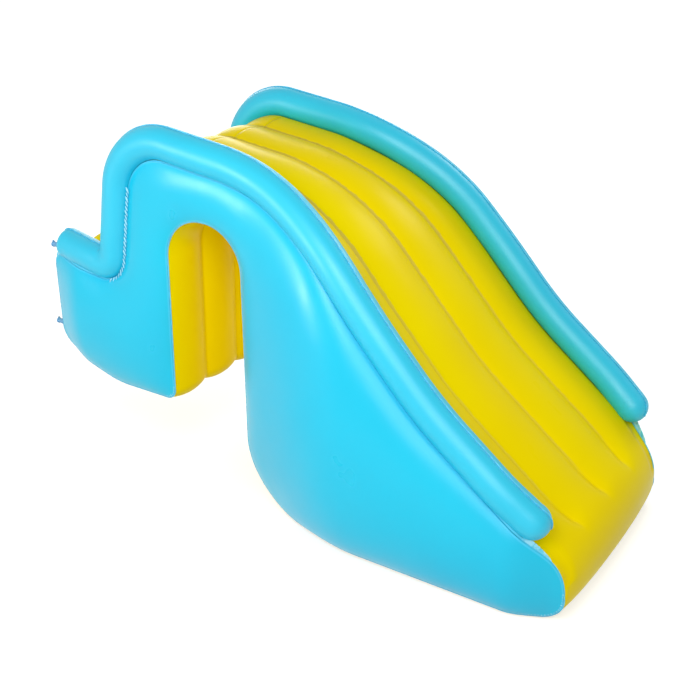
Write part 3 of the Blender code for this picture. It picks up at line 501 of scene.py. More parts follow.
# Yellow sheets, blown out into ridges between the webs
def ridge_shares():
    """Shares across the body, -1 to 1, close together near the welds."""
    steps = np.linspace(0.0, 1.0, RIDGE_COLUMNS + 1)
    eased = 0.5 - 0.5 * np.cos(math.pi * steps)
    shares = 0.45 * eased + 0.55 * steps
    ridges = [-1.0 + (ridge + shares[:-1]) / 2 for ridge in range(4)]
    return np.concatenate(ridges + [np.array([1.0])])


def seat_height(y, x):
    """How far the rail lets the sheet rise under it."""
    aside = np.minimum(np.abs(np.abs(y) - half_width(x) + RAIL_INSET), RAIL_RADIUS)
    return RAIL_SEAT_SHARE * (RAIL_RADIUS - np.sqrt(RAIL_RADIUS**2 - aside**2))


def crown_height(across, x, normal_z):
    """How far the blown sheet stands out from the seams, and how far its ridges have faded."""
    share = (across + 1.0) * 2.0 % 1.0
    ridge = RIDGE_CROWN * (4 * share * (1 - share)) ** RIDGE_ROUNDNESS_SHARE
    upward = (1.0 + normal_z) / 2
    at_front = NOSE_FRONT_CROWN_SHARE + (1.0 - NOSE_FRONT_CROWN_SHARE) * upward
    broad = NOSE_CROWN * at_front * np.maximum(1 - across**2, 0.0) ** NOSE_ROUNDNESS_SHARE
    fade = smooth_step((x - FADE_START_X) / (RIDGE_FADE_LENGTH - RIDGE_FADE_MARGIN))
    return ridge * (1 - fade) + broad * fade, fade


def nose_grooves(across, x):
    """How far the inner webs still draw the sheet in where its ridges run out at the nose."""
    gap = np.min([np.abs(across - web) for web in WEBS_ACROSS], axis=0) * half_width(x)
    end = CORNERS["nose_top"][0] - NOSE_GROOVE_END
    ending = 1.0 - smooth_step((x - end + NOSE_GROOVE_TIP) / NOSE_GROOVE_TIP)
    return NOSE_GROOVE * ending * np.exp(-((gap / NOSE_GROOVE_HALF) ** NOSE_GROOVE_ROUNDNESS))


def weld_folds(across, x, along):
    """Small folds that fan out of the welded valleys and the side seams, inwards only."""
    folds = np.zeros(np.broadcast(across, along).shape)
    for number, weld in enumerate((-1.0, *WEBS_ACROSS, 1.0)):
        gap = np.abs(across - weld) * half_width(x)
        reach = SEAM_FOLD_REACH if abs(weld) == 1.0 else WEB_FOLD_REACH
        on_one_side = dips(along, SHEET_FOLD_PITCH, 31 + 2 * number)
        on_the_other = dips(along, SHEET_FOLD_PITCH, 32 + 2 * number)
        wave = np.where(across > weld, on_one_side, on_the_other)
        folds += SHEET_FOLD_DEPTH * fan_out(gap, reach) * wave
    return folds


def yellow_sheet(name, start, end, material):
    """A film sheet between two stations of the side seams."""
    numbers = SEAM.span(start, end)
    across = ridge_shares()[None, :]
    base = SEAM.points[numbers].copy()
    normal = SEAM.normals[numbers]
    tangent = np.stack([normal[:, 1], -normal[:, 0]], axis=1)
    base[0] += tangent[0] * WELD_GAP / 2
    base[-1] -= tangent[-1] * WELD_GAP / 2
    along = SEAM.along[numbers]
    along = np.where(along < along[0], along + SEAM.length, along)[:, None]
    x = base[:, :1]
    y = across * (half_width(x) - EDGE_SETBACK)
    height, fade = crown_height(across, x, normal[:, 1:])
    height = height + weld_folds(across, x, along) * (1 - fade)
    height = height - nose_grooves(across, x) * fade * (normal[:, 1:] > 0)
    under = np.array([number in UNDER_RAIL for number in numbers])[:, None]
    height = np.where(under, np.minimum(height, seat_height(y, x)), height)
    points = np.empty(height.shape + (3,))
    points[..., 0] = x + normal[:, :1] * height
    points[..., 1] = y
    points[..., 2] = np.maximum(base[:, 1:] + normal[:, 1:] * height, 0.0)
    uv = np.stack(np.broadcast_arrays((across + 1.0) * 2.0, along), axis=-1).reshape(-1, 2)
    faces = grid_faces(*height.shape)
    return new_piece(name, points.reshape(-1, 3), faces, [material], FILM, uv)


# Stations where the sheet lies under a rail or just ahead of one
UNDER_RAIL = set(SEAM.span(SEAM.last["step_end"], SEAM.first["nose_top"] + STATIONS_PAST_RAIL))


def rear_sheet(name, valve, material):
    """The sheet at the rear of the step, pressed flat round the valve and cut out under it."""
    piece = yellow_sheet(name, SEAM.first["sole_heel"], SEAM.first["step_end"], material)
    sheet = bmesh.new()
    sheet.from_mesh(piece.data)

    def from_axis(place):
        return math.hypot(place.y - valve.y, place.z - valve.z)

    for corner in sheet.verts:
        from_seam = half_width(corner.co.x) - EDGE_SETBACK - abs(corner.co.y)
        flat = 1.0 - float(smooth_step((from_axis(corner.co) - PAD_HALF) / PAD_EASE))
        corner.co.x += (valve.x - corner.co.x) * flat * float(smooth_step(from_seam / PAD_SEAM_EASE))
    covered = [face for face in sheet.faces if from_axis(face.calc_center_median()) < HOLE_RADIUS]
    bmesh.ops.delete(sheet, geom=covered, context="FACES")
    sheet.to_mesh(piece.data)
    sheet.free()
    return piece


# Blue side panels, swollen like a film held all round its outline
def inside_outline(points, loop):
    """Which points lie inside a closed outline, by the edges that a level ray crosses."""
    start, end = loop, np.roll(loop, -1, axis=0)
    x, z = points[:, :1], points[:, 1:]
    spans = (start[:, 1] > z) != (end[:, 1] > z)
    rise = end[:, 1] - start[:, 1]
    rise = np.where(np.abs(rise) < LEAST_RISE, LEAST_RISE, rise)
    crossing = start[:, 0] + (z - start[:, 1]) / rise * (end[:, 0] - start[:, 0])
    return (spans & (x < crossing)).sum(axis=1) % 2 == 1


def nearest_on_outline(points, loop):
    """Distance from each point to a closed outline, and the nearest station's number."""
    far = np.empty(len(points))
    near = np.empty(len(points), int)
    for first in range(0, len(points), POINTS_AT_ONCE):
        some = slice(first, first + POINTS_AT_ONCE)
        gaps = points[some, None, :] - loop[None, :, :]
        squares = (gaps**2).sum(axis=2)
        near[some] = squares.argmin(axis=1)
        far[some] = np.sqrt(squares.min(axis=1))
    return far, near


def thinned(ring, gap):
    """The ring without the points that crowd together where it turns in a tight corner."""
    kept = [ring[0]]
    for point in ring[1:]:
        if np.linalg.norm(point - kept[-1]) > gap:
            kept.append(point)
    return np.array(kept)


def panel_points(loop):
    """Rings that follow the outline closely near it, and staggered rows over the middle."""
    kept = [loop]
    last = 0.0
    for depth in PANEL_RINGS:
        ring = SEAM.points - SEAM.normals * (PANEL_EDGE_DROP + depth)
        ring = ring[:: 1 if depth < PANEL_FINE_DEPTH else 2]
        far, _ = nearest_on_outline(ring, loop)
        clear = (far > PANEL_RING_CLEAR * depth) & inside_outline(ring, loop)
        kept.append(thinned(ring[clear], min(PANEL_POINT_SHARE * depth, PANEL_POINT_GAP)))
        last = depth
    low, high = loop.min(axis=0), loop.max(axis=0)
    rise = PANEL_STEP * PANEL_ROW_SHARE
    rows = []
    for row in range(math.ceil((high[1] - low[1]) / rise)):
        xs = np.arange(low[0], high[0], PANEL_STEP) + 0.5 * PANEL_STEP * (row % 2)
        z = low[1] + row * PANEL_STEP * PANEL_ROW_SHARE
        rows.append(np.stack([xs, np.full_like(xs, z)], axis=1))
    field = np.concatenate(rows)
    far, _ = nearest_on_outline(field, loop)
    clear = (far > last + PANEL_FIELD_CLEAR * PANEL_STEP) & inside_outline(field, loop)
    kept.append(field[clear])
    return np.concatenate(kept)


def blown_shape(points, faces, held):
    """The membrane equation over the panel, solved by conjugate gradients."""
    one, two, three = (points[faces[:, corner]] for corner in range(3))
    run, other_run = two - one, three - one
    area = np.abs(run[:, 0] * other_run[:, 1] - run[:, 1] * other_run[:, 0])
    pairs, weights = [], []
    load = np.zeros(len(points))
    for turn in range(3):
        apex, left, right = faces[:, turn], faces[:, (turn + 1) % 3], faces[:, (turn + 2) % 3]
        dot = ((points[left] - points[apex]) * (points[right] - points[apex])).sum(axis=1)
        pairs.append(np.stack([left, right], axis=1))
        weights.append(0.5 * dot / area)
        np.add.at(load, apex, area / 6)
    pairs = np.concatenate(pairs)
    weights = np.concatenate(weights)
    count = len(points)
    diagonal = np.bincount(pairs[:, 0], weights, count) + np.bincount(pairs[:, 1], weights, count)
    free = np.arange(count) >= held

    def stiffness(heights):
        """How hard the film pulls back at each free point when it stands this high."""
        out = diagonal * heights
        out -= np.bincount(pairs[:, 0], weights * heights[pairs[:, 1]], count)
        out -= np.bincount(pairs[:, 1], weights * heights[pairs[:, 0]], count)
        return np.where(free, out, 0.0)

    heights = np.zeros(count)
    rest = np.where(free, load, 0.0)
    scale = 1.0 / np.where(diagonal > 0, diagonal, 1.0)
    step = rest * scale
    energy = rest @ step
    for _ in range(SOLVER_ROUNDS):
        pushed = stiffness(step)
        share = energy / (step @ pushed)
        heights += share * step
        rest -= share * pushed
        eased = rest * scale
        new_energy = rest @ eased
        if new_energy < LEAST_ENERGY:
            break
        step = eased + new_energy / energy * step
        energy = new_energy
    return np.maximum(heights, 0.0)


def panel_film():
    """Flat points, faces, swelling, depth from the edge and nearest station of a side panel."""
    loop = SEAM.points - SEAM.normals * PANEL_EDGE_DROP
    flat = panel_points(loop)
    edges = [(index, (index + 1) % len(loop)) for index in range(len(loop))]
    filled = delaunay_2d_cdt([Vector(point) for point in flat], edges, [], 1, PANEL_MERGE)
    points = np.array([tuple(point) for point in filled[0]])
    faces = np.array([face for face in filled[2] if len(face) == 3])
    middles = points[faces].mean(axis=1)
    faces = faces[inside_outline(middles, loop)]
    load = blown_shape(points, faces, len(loop))
    swell = np.sqrt(2 * load + PANEL_EDGE_EASE**2) - PANEL_EDGE_EASE
    depth, station = nearest_on_outline(points, loop)
    return points, faces, swell, depth, station


PANEL_FILM = panel_film()


def side_panel(name, side, material, seed):
    """A swollen side panel, drawn into fine folds where its seam bends."""
    points, faces, swell, depth, station = PANEL_FILM
    along = SEAM.along[station]
    bend = np.clip(np.abs(SEAM.bends[station]) / TIGHT_BEND, 0.0, 1.0)
    fan = fan_out(depth, PANEL_FOLD_REACH + PANEL_FOLD_MORE_REACH * bend)
    deep = PANEL_FOLD_DEPTH + PANEL_FOLD_MORE_DEPTH * bend
    folds = deep * fan * dips(along, PANEL_FOLD_PITCH, seed)
    edge = half_width(points[:, 0]) + EDGE_SETBACK + FILM
    out = edge + PANEL_FULLNESS_SHARE * swell + folds
    placed = np.stack([points[:, 0], side * out, points[:, 1]], axis=1)
    turned = faces if side < 0 else faces[:, ::-1]
    uv = np.stack([along, depth], axis=1)
    piece = new_piece(name, placed, turned.tolist(), [material], FILM, uv)
    close_film_map(piece)
    return piece


def close_film_map(piece):
    """Let the distance along the seam run on past its first station, in faces that span it."""
    layer = piece.data.uv_layers["film"].data
    corners = np.empty(len(layer) * 2)
    layer.foreach_get("uv", corners)
    corners = corners.reshape(-1, 3, 2)
    closing = np.ptp(corners[..., 0], axis=1) > SEAM.length / 2
    low = corners[closing, :, 0] < SEAM.length / 2
    corners[closing, :, 0] += np.where(low, SEAM.length, 0.0)
    layer.foreach_set("uv", corners.ravel())


# Welds and rails
def loft(name, sections, materials, ring=False):
    """A closed solid through equal sections, with ends or as a ring."""
    sections = np.array(sections, float)
    rows, columns = sections.shape[:2]
    count = rows * columns
    faces = grid_faces(rows + (1 if ring else 0), columns, closed=True)
    if ring:
        faces = [tuple(corner % count for corner in face) for face in faces]
    else:
        faces += [tuple(range(columns)), tuple(range(count - 1, count - columns - 1, -1))]
    piece = new_piece(name, sections.reshape(-1, 3), faces, materials)
    close_solid(piece)
    return piece


def rail_floor(aside):
    """How far over the seam the rail's underside is, this far aside from its middle."""
    return RAIL_GAP + RAIL_RADIUS - math.sqrt(RAIL_RADIUS**2 - aside**2)


def cad_rail_middles():
    """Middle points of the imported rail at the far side, from its rear end to its front end."""
    numbers = CAD_SEAM.span(CAD_SEAM.last["step_end"], CAD_SEAM.first["nose_top"])
    points, normals = CAD_SEAM.points[numbers], CAD_SEAM.normals[numbers]
    flat = points + normals * (RAIL_GAP + RAIL_RADIUS)
    middles = np.stack([flat[:, 0], half_width(points[:, 0]) - RAIL_INSET, flat[:, 1]], axis=1)
    back = middles[-2] - middles[-1]
    middles[-1] += back / np.linalg.norm(back) * RAIL_FRONT_SETBACK
    run = middles[1] - middles[0]
    middles[0] += run * ((CORNERS["step_end"][0] + RAIL_REAR_SETBACK - middles[0][0]) / run[0])
    return middles


def evened(values, reach):
    """Values along a line, each the mean of those within this many steps of it."""
    window = np.ones(2 * reach + 1) / (2 * reach + 1)
    return np.convolve(np.pad(values, reach, mode="edge"), window, mode="valid")


def rail_line():
    """Middles, ups, distances and bends of a rail at the far side, and its y beside each station."""
    coarse = cad_rail_middles()
    numbers = SEAM.span(SEAM.last["step_end"], SEAM.first["nose_top"])
    points, normals = SEAM.points[numbers], SEAM.normals[numbers]
    flat = points + normals * (RAIL_GAP + RAIL_RADIUS)
    y = np.interp(flat[:, 0], coarse[:, 0], coarse[:, 1])
    inner = slice(RAIL_EASE_START, -RAIL_EASE_START)
    y[inner] = evened(y, RAIL_EASE_STEPS)[inner]
    middles = np.stack([flat[:, 0], y, flat[:, 1]], axis=1)
    margin = RAIL_END_SHARE * STATION_STEP
    kept = (middles[:, 0] > coarse[0][0] + margin) & (middles[:, 0] < coarse[-1][0] - margin)
    middles = np.concatenate([coarse[:1], middles[kept], coarse[-1:]])
    ups = np.stack([normals[:, 0], np.zeros(len(normals)), normals[:, 1]], axis=1)
    ups = np.concatenate([ups[:1], ups[kept], ups[-1:]])
    bends = np.concatenate([[0.0], SEAM.bends[numbers][kept], [0.0]])
    bends = evened(bends, BEND_EASE_STEPS)
    steps = np.linalg.norm(np.diff(middles, axis=0), axis=1)
    beside = {number: spot for number, spot, used in zip(numbers, y, kept) if used}
    return middles, ups, np.concatenate([[0.0], np.cumsum(steps)]), bends, beside


# The rail that both sides share, and the stations where it keeps the side weld low
RAIL_MIDDLES, RAIL_UPS, RAIL_ALONG, RAIL_BENDS, RAIL_MIDDLE_Y = rail_line()
LOW_TOP = rail_floor(RAIL_INSET - SEAM_THICKNESS / 2) - WELD_GAP
LOW_SEAM = set(SEAM.span(SEAM.first["step_end"], SEAM.last["nose_top"]))
RAIL_FIRST_STATION, RAIL_LAST_STATION = min(RAIL_MIDDLE_Y), max(RAIL_MIDDLE_Y)


def perimeter_weld(name, side, material, hidden):
    """The trimmed weld round one side, scalloped and a little wavy where it stands free."""
    sections = []
    for number, (point, normal) in enumerate(zip(SEAM.points, SEAM.normals)):
        along = SEAM.along[number]
        middle = half_width(point[0])
        low = number in LOW_SEAM
        top = SEAM_FIN_HEIGHT + SEAM_SCALLOP * float(crimps(along, SEAM_SCALLOP_PITCH, 5))
        sway = 0.0 if low else SEAM_SWAY * float(crimps(along, SEAM_SWAY_PITCH, 6))
        if low:
            aside = abs(middle - RAIL_MIDDLE_Y.get(number, middle - RAIL_INSET)) - SEAM_THICKNESS / 2
            top = rail_floor(min(max(aside, 0.0), FIN_REACH_UNDER_RAIL)) - WELD_GAP
        if 0 < number - RAIL_LAST_STATION <= STATIONS_UNDER_CAP:
            top = weld_under_cap(point, normal, RAIL_MIDDLES[-1], RAIL_RADIUS)
        if 0 < RAIL_FIRST_STATION - number <= STATIONS_UNDER_CAP:
            sag = np.array([0.0, 0.0, rear_sag(RAIL_MIDDLES[0][0] - point[0])])
            top = weld_under_cap(point, normal, RAIL_MIDDLES[0] - sag, RAIL_REAR_CAP_LENGTH)
        foot, tip = point - normal * SEAM_ROOT_DEPTH, point + normal * top
        near, out = middle - SEAM_THICKNESS / 2, middle + SEAM_THICKNESS / 2
        section = [(foot, near), (foot, out), (tip, out + sway), (tip, near + sway)]
        sections.append([(spot[0], side * y, spot[1]) for spot, y in section])
    piece = loft(name, sections, [material, hidden], ring=True)
    for face in piece.data.polygons:
        face.material_index = int(face.index // 4 in LOW_SEAM)
    return piece


def rear_pad():
    """The turn at which the rear cap goes flat, and how far behind the tube that is."""
    turn = math.acos((PAD_HALF + VALVE_GAP) / RAIL_RADIUS)
    return turn, RAIL_REAR_CAP_LENGTH * math.sin(turn)


def rear_sag(back):
    """How far the rear cap's middle has dropped towards the valve, this far behind the tube."""
    turn = math.asin(min(back / RAIL_REAR_CAP_LENGTH, 1.0))
    return RAIL_VALVE_DROP * (1 - math.cos(turn)) / (1 - math.cos(rear_pad()[0]))


def rail_rings():
    """Rings of a rail at the far side: middle, up, aside, radius, distance, bend and lean.

    The lean is a cap's turn away from the tube, and the rings of the flat pad have none.
    """
    rings = []
    turn_end, reach = rear_pad()
    start = RAIL_MIDDLES[0]
    level, across = np.array([0.0, 0.0, 1.0]), np.array([0.0, 1.0, 0.0])
    pad = start - np.array([reach, 0.0, RAIL_VALVE_DROP])
    for radius in REAR_PAD_RADII:
        rings.append((pad, level, across, radius, REAR_PAD_ALONG + radius, 0.0, None))
    for share in np.linspace(0.95, 0.05, REAR_CAP_RINGS):
        turn = turn_end * share
        back = RAIL_REAR_CAP_LENGTH * math.sin(turn)
        middle = start - np.array([back, 0.0, rear_sag(back)])
        rings.append((middle, level, across, RAIL_RADIUS * math.cos(turn), -back, 0.0, -turn))
    count = len(RAIL_MIDDLES)
    for index, (middle, along, bend) in enumerate(zip(RAIL_MIDDLES, RAIL_ALONG, RAIL_BENDS)):
        run = RAIL_MIDDLES[min(index + 1, count - 1)] - RAIL_MIDDLES[max(index - 1, 0)]
        aside = np.cross(RAIL_UPS[index], run)
        blend = float(smooth_step(along / RAIL_TURN_LENGTH))
        aside = aside / np.linalg.norm(aside) * blend + across * (1 - blend)
        aside /= np.linalg.norm(aside)
        up = RAIL_UPS[index] * blend + level * (1 - blend)
        up /= np.linalg.norm(up)
        rings.append((middle, up, aside, RAIL_RADIUS, along, bend, 0.0))
    middle, up, aside = RAIL_MIDDLES[-1], RAIL_UPS[-1], rings[-1][2]
    forward = np.cross(aside, up)
    for degrees in FRONT_CAP_DEGREES:
        turn = math.radians(degrees)
        place = middle + forward * (RAIL_RADIUS * math.sin(turn))
        along = RAIL_ALONG[-1] + RAIL_RADIUS * turn
        rings.append((place, up, aside, RAIL_RADIUS * math.cos(turn), along, 0.0, turn))
    return rings


RAIL_RINGS = rail_rings()


def rail_tube(name, side, material, seed):
    """A blown-up rail, puckered along its top weld, in its bends and round its front end."""
    angles = np.linspace(0.0, 2.0 * math.pi, RAIL_COLUMNS, endpoint=False)
    from_weld = np.minimum(angles, 2 * math.pi - angles)
    near_weld = np.exp(-((from_weld / NEAR_WELD_TURN) ** 2))
    underneath = np.exp(-(((math.pi - from_weld) / UNDERNEATH_TURN) ** 2))
    gathered = np.exp(-((np.sin(angles) / GATHERED_SINE) ** 2))
    rows, uv = [], []
    for middle, up, aside, radius, along, bend, lean in RAIL_RINGS:
        radii = np.full(RAIL_COLUMNS, radius)
        if lean is not None:
            folds, other = (float(dips(along, RAIL_PUCKER_PITCH, seed + each)) for each in (0, 1))
            sided = np.where(angles < math.pi, folds, other)
            radii = radii + RAIL_PUCKER * near_weld * sided + RAIL_UNDER_PUCKER * underneath * sided
            inner = np.cos(from_weld / 2) ** 4 if bend < 0 else np.sin(from_weld / 2) ** 4
            creases = float(dips(along, RAIL_CREASE_PITCH, seed + 2))
            radii = radii + RAIL_CREASE * min(abs(bend), RAIL_CREASE_BEND) * inner * creases
            if abs(lean) > CAP_GATHER_START:
                gather = CAP_GATHER * (abs(lean) - CAP_GATHER_START) * gathered
                radii = radii + gather * (np.cos(angles * CAP_GATHERS + seed) - 1.0) / 2
        spokes = np.outer(np.cos(angles), up) + np.outer(np.sin(angles), aside)
        rows.append(middle + spokes * radii[:, None])
        uv.append(np.stack([angles / (2 * math.pi), np.full(RAIL_COLUMNS, along)], axis=1))
    points = np.array(rows)
    points[..., 1] *= side
    faces = grid_faces(len(rows), RAIL_COLUMNS, closed=True, flip=side < 0)
    last = len(rows) * RAIL_COLUMNS
    pole = tuple(range(last - 1, last - 1 - RAIL_COLUMNS, -1))
    faces.append(pole[::-1] if side < 0 else pole)
    return new_piece(name, points.reshape(-1, 3), faces, [material], FILM, np.array(uv).reshape(-1, 2))


def rail_weld(name, side, material):
    """The trimmed weld along a rail's top and over both of its ends."""
    sections = []
    for middle, up, aside, radius, along, _, lean in RAIL_RINGS:
        if lean is None or radius < RAIL_WELD_END_RADIUS:
            continue
        forward = np.cross(aside, up)
        out = up * math.cos(lean) + forward * math.sin(lean)
        scallop = RAIL_SCALLOP + RAIL_MORE_SCALLOP * float(smooth_step(abs(lean)))
        height = RAIL_SEAM_HEIGHT + scallop * float(crimps(along, RAIL_SCALLOP_PITCH, 15))
        sway = aside * (SEAM_SWAY * float(crimps(along, RAIL_SWAY_PITCH, 16)))
        foot = middle + up * (radius - RAIL_SEAM_ROOT)
        half = aside * (RAIL_SEAM_THICKNESS / 2)
        tip = out * (height + RAIL_SEAM_ROOT) + sway
        section = np.array([foot - half, foot + half, foot + half + tip, foot - half + tip])
        section[:, 1] *= side
        sections.append(section)
    return loft(name, sections, [material])


def height_under_cap(base, normal, cap_middle, cap_length):
    """How far out from this point of the side seams the round end of a rail is."""
    squash = RAIL_RADIUS / cap_length
    to_cap = cap_middle - base
    to_cap[0] *= squash
    ray = np.array([normal[0] * squash, normal[1], normal[2]])
    along = to_cap @ ray / (ray @ ray)
    aside = ((to_cap - ray * along) ** 2).sum()
    return along - math.sqrt(max(RAIL_RADIUS**2 - aside, 0.0)) / math.sqrt(ray @ ray)


def weld_under_cap(point, normal, cap_middle, cap_length):
    """How high the side weld stands where it runs on under the round end of a rail."""
    base = np.array([point[0], half_width(point[0]), point[1]])
    out = np.array([normal[0], 0.0, normal[1]])
    return height_under_cap(base, out, cap_middle, cap_length) - GUSSET_FRONT_CAP_GAP


def gusset_foot_line(start, step, length):
    """A function from a distance along a gusset's foot to its spot and outward direction."""
    path, walked = [start], [0.0]
    while walked[-1] < length:
        ahead = (path[-1] + step) % len(SEAM.points)
        walked.append(walked[-1] + float(np.linalg.norm(SEAM.points[ahead] - SEAM.points[path[-1]])))
        path.append(ahead)
    walked = np.array(walked)

    def at(distance, values):
        return np.array([np.interp(distance, walked, values[:, axis]) for axis in (0, 1)])

    spots, outs = SEAM.points[path], SEAM.normals[path]
    return lambda distance: (at(distance, spots), at(distance, outs))


def rail_gusset(name, side, step, material, seed):
    """The slack, puckered end of a rail's film, from under its cap down to the side seam."""
    middles = cad_rail_middles()
    front = step > 0
    cap_middle = middles[-1] if front else middles[0]
    cap_length = RAIL_RADIUS if front else RAIL_REAR_CAP_LENGTH
    cap_gap = GUSSET_FRONT_CAP_GAP if front else GUSSET_REAR_CAP_GAP
    length = GUSSET_FRONT_LENGTH if front else GUSSET_REAR_LENGTH
    edge = SEAM.first["nose_top"] if front else SEAM.last["step_end"]
    flat = SEAM.points + SEAM.normals * (RAIL_GAP + RAIL_RADIUS)
    offsets = range(-GUSSET_SEARCH, GUSSET_SEARCH + 1)
    numbers = [(edge + step * offset) % len(SEAM.points) for offset in offsets]
    gaps = np.abs((flat[numbers] - cap_middle[[0, 2]])).sum(axis=1)
    foot_line = gusset_foot_line(numbers[int(gaps.argmin())], step, length)
    reach = GUSSET_REACH_SHARE * cap_length
    foot = LOW_TOP + WELD_GAP
    count = GUSSET_FRONT_COLUMNS if front else GUSSET_REAR_COLUMNS
    columns = np.linspace(GUSSET_START, length, count)
    levels = np.linspace(0.0, 1.0, GUSSET_LEVELS)
    points = []
    for distance in columns:
        spot, normal = foot_line(distance)
        at_peak = min(distance, reach)
        peak, out = foot_line(at_peak)
        cap = cap_middle - np.array([0.0, 0.0, 0.0 if front else rear_sag(at_peak)])
        base = np.array([peak[0], half_width(peak[0]), peak[1]])
        top = height_under_cap(base, np.array([out[0], 0.0, out[1]]), cap, cap_length) - cap_gap
        left = min((length - distance) / (length - reach), 1.0)
        height = max((top - foot) * left**GUSSET_FULLNESS, GUSSET_LEAST_HEIGHT)
        slack = min(height / GUSSET_SLACK_HEIGHT, 1.0)
        for level in levels:
            # The folds stand closer together at the seam, and lean a little as they rise
            fanned = distance * (1.25 - 0.25 * level) + 0.012 * level
            wave = float(crimps(fanned, GUSSET_FOLD_PITCH, seed))
            fold = wave * GUSSET_FOLD * slack * level**0.7
            fold += GUSSET_WAVE * slack * math.sin(5.0 * level + 90.0 * distance) * level
            spread = spot + normal * (foot + height * level)
            points.append((spread[0], side * (half_width(spot[0]) + fold), spread[1]))
    faces = grid_faces(len(columns), len(levels))
    return new_piece(name, points, faces, [material], FILM, offset=0.0)


# Folds that repeat along a weld
def crimp_tree():
    """Slanted, rounded folds set along a line of points, each turned to lie along it."""
    tree = bpy.data.node_groups.new("weld_crimps", "GeometryNodeTree")
    face = tree.interface
    face.new_socket("Line", in_out="INPUT", socket_type="NodeSocketGeometry")
    for label in FOLD_SIZES:
        face.new_socket(label, in_out="INPUT", socket_type="NodeSocketFloat")
    face.new_socket("Outward", in_out="INPUT", socket_type="NodeSocketVector")
    face.new_socket("Finish", in_out="INPUT", socket_type="NodeSocketMaterial")
    face.new_socket("Folds", in_out="OUTPUT", socket_type="NodeSocketGeometry")
    kinds = {
        "given": "NodeGroupInput",
        "line": "GeometryNodeMeshToCurve",
        "spaced": "GeometryNodeResampleCurve",
        "tangent": "GeometryNodeInputTangent",
        "axes": "FunctionNodeAxesToRotation",
        "lean": "FunctionNodeEulerToRotation",
        "lean_parts": "ShaderNodeCombineXYZ",
        "turned": "FunctionNodeRotateRotation",
        "fold": "GeometryNodeMeshUVSphere",
        "size": "ShaderNodeCombineXYZ",
        "vary": "FunctionNodeRandomValue",
        "low": "ShaderNodeMath",
        "high": "ShaderNodeMath",
        "grown": "ShaderNodeVectorMath",
        "placed": "GeometryNodeInstanceOnPoints",
        "real": "GeometryNodeRealizeInstances",
        "smooth": "GeometryNodeSetShadeSmooth",
        "finish": "GeometryNodeSetMaterial",
        "out": "NodeGroupOutput",
    }
    nodes = {name: tree.nodes.new(kind) for name, kind in kinds.items()}
    nodes["spaced"].mode = "LENGTH"
    nodes["axes"].primary_axis, nodes["axes"].secondary_axis = "X", "Y"
    nodes["turned"].rotation_space = "LOCAL"
    for label, value in (("Segments", FOLD_SEGMENTS), ("Rings", FOLD_RINGS), ("Radius", 0.5)):
        nodes["fold"].inputs[label].default_value = value
    nodes["vary"].data_type = "FLOAT"
    nodes["vary"].inputs["Seed"].default_value = FOLD_SEED
    for name, operation in (("low", "SUBTRACT"), ("high", "ADD")):
        nodes[name].operation = operation
        nodes[name].inputs[0].default_value = 1.0
    nodes["grown"].operation = "SCALE"
    links = (
        ("given", "Line", "line", "Mesh"),
        ("line", "Curve", "spaced", "Curve"),
        ("given", "Pitch", "spaced", "Length"),
        ("tangent", "Tangent", "axes", "Primary Axis"),
        ("given", "Outward", "axes", "Secondary Axis"),
        ("given", "Slant", "lean_parts", "Y"),
        ("lean_parts", "Vector", "lean", "Euler"),
        ("axes", "Rotation", "turned", "Rotation"),
        ("lean", "Rotation", "turned", "Rotate By"),
        ("given", "Fold Length", "size", "X"),
        ("given", "Fold Height", "size", "Y"),
        ("given", "Fold Width", "size", "Z"),
        ("given", "Size Change", "low", 1),
        ("given", "Size Change", "high", 1),
        ("low", "Value", "vary", 2),
        ("high", "Value", "vary", 3),
        ("size", "Vector", "grown", 0),
        ("vary", 1, "grown", "Scale"),
        ("spaced", "Curve", "placed", "Points"),
        ("fold", "Mesh", "placed", "Instance"),
        ("turned", "Rotation", "placed", "Rotation"),
        ("grown", "Vector", "placed", "Scale"),
        ("placed", "Instances", "real", "Geometry"),
        ("real", "Geometry", "smooth", "Geometry"),
        ("smooth", "Geometry", "finish", "Geometry"),
        ("given", "Finish", "finish", "Material"),
        ("finish", "Geometry", "out", "Folds"),
    )
    for start, output, end, socket in links:
        tree.links.new(nodes[start].outputs[output], nodes[end].inputs[socket])
    return tree


def crimped_line(name, points, material, outward, sizes):
    """A plain mesh of the folds that the crimp tree sets along these points."""
    mesh = bpy.data.meshes.new(name + "_line")
    edges = [(index, index + 1) for index in range(len(points) - 1)]
    mesh.from_pydata(in_frame(points).tolist(), edges, [])
    line = in_scene(name + "_line", mesh)
    crimped = line.modifiers.new("crimps", "NODES")
    crimped.node_group = CRIMPS
    given = {**dict(zip(FOLD_SIZES, sizes)), "Outward": outward, "Finish": material}
    for socket in CRIMPS.interface.items_tree:
        if socket.name in given:
            crimped[socket.identifier] = given[socket.name]
    bpy.context.view_layer.update()
    graph = bpy.context.evaluated_depsgraph_get()
    made = bpy.data.meshes.new_from_object(line.evaluated_get(graph))
    made.name = name
    piece = in_scene(name, made)
    bpy.data.objects.remove(line)
    return piece


def seam_line(side, start, end, lift, outset):
    """A line beside the side seam, lifted off it and set out from the side by these distances."""
    numbers = SEAM.span(start, end)
    points, normals = SEAM.points[numbers], SEAM.normals[numbers]
    flat = points + normals * lift
    y = side * (half_width(points[:, 0]) + outset)
    return np.stack([flat[:, 0], y, flat[:, 1]], axis=1)


def rail_tick_line(side, offset):
    """A line beside a rail's top weld, over its front end too, where its film is nipped."""
    away = RAIL_RADIUS * math.sin(offset)
    points = []
    for middle, up, aside, radius, _, _, lean in RAIL_RINGS:
        if lean is not None and 0.0 <= lean < NIP_END_LEAN:
            height = math.sqrt(radius**2 - away**2) - NIP_SINK
            points.append(middle + up * height + aside * away)
    points = np.array(points)
    points[:, 1] *= side
    return points


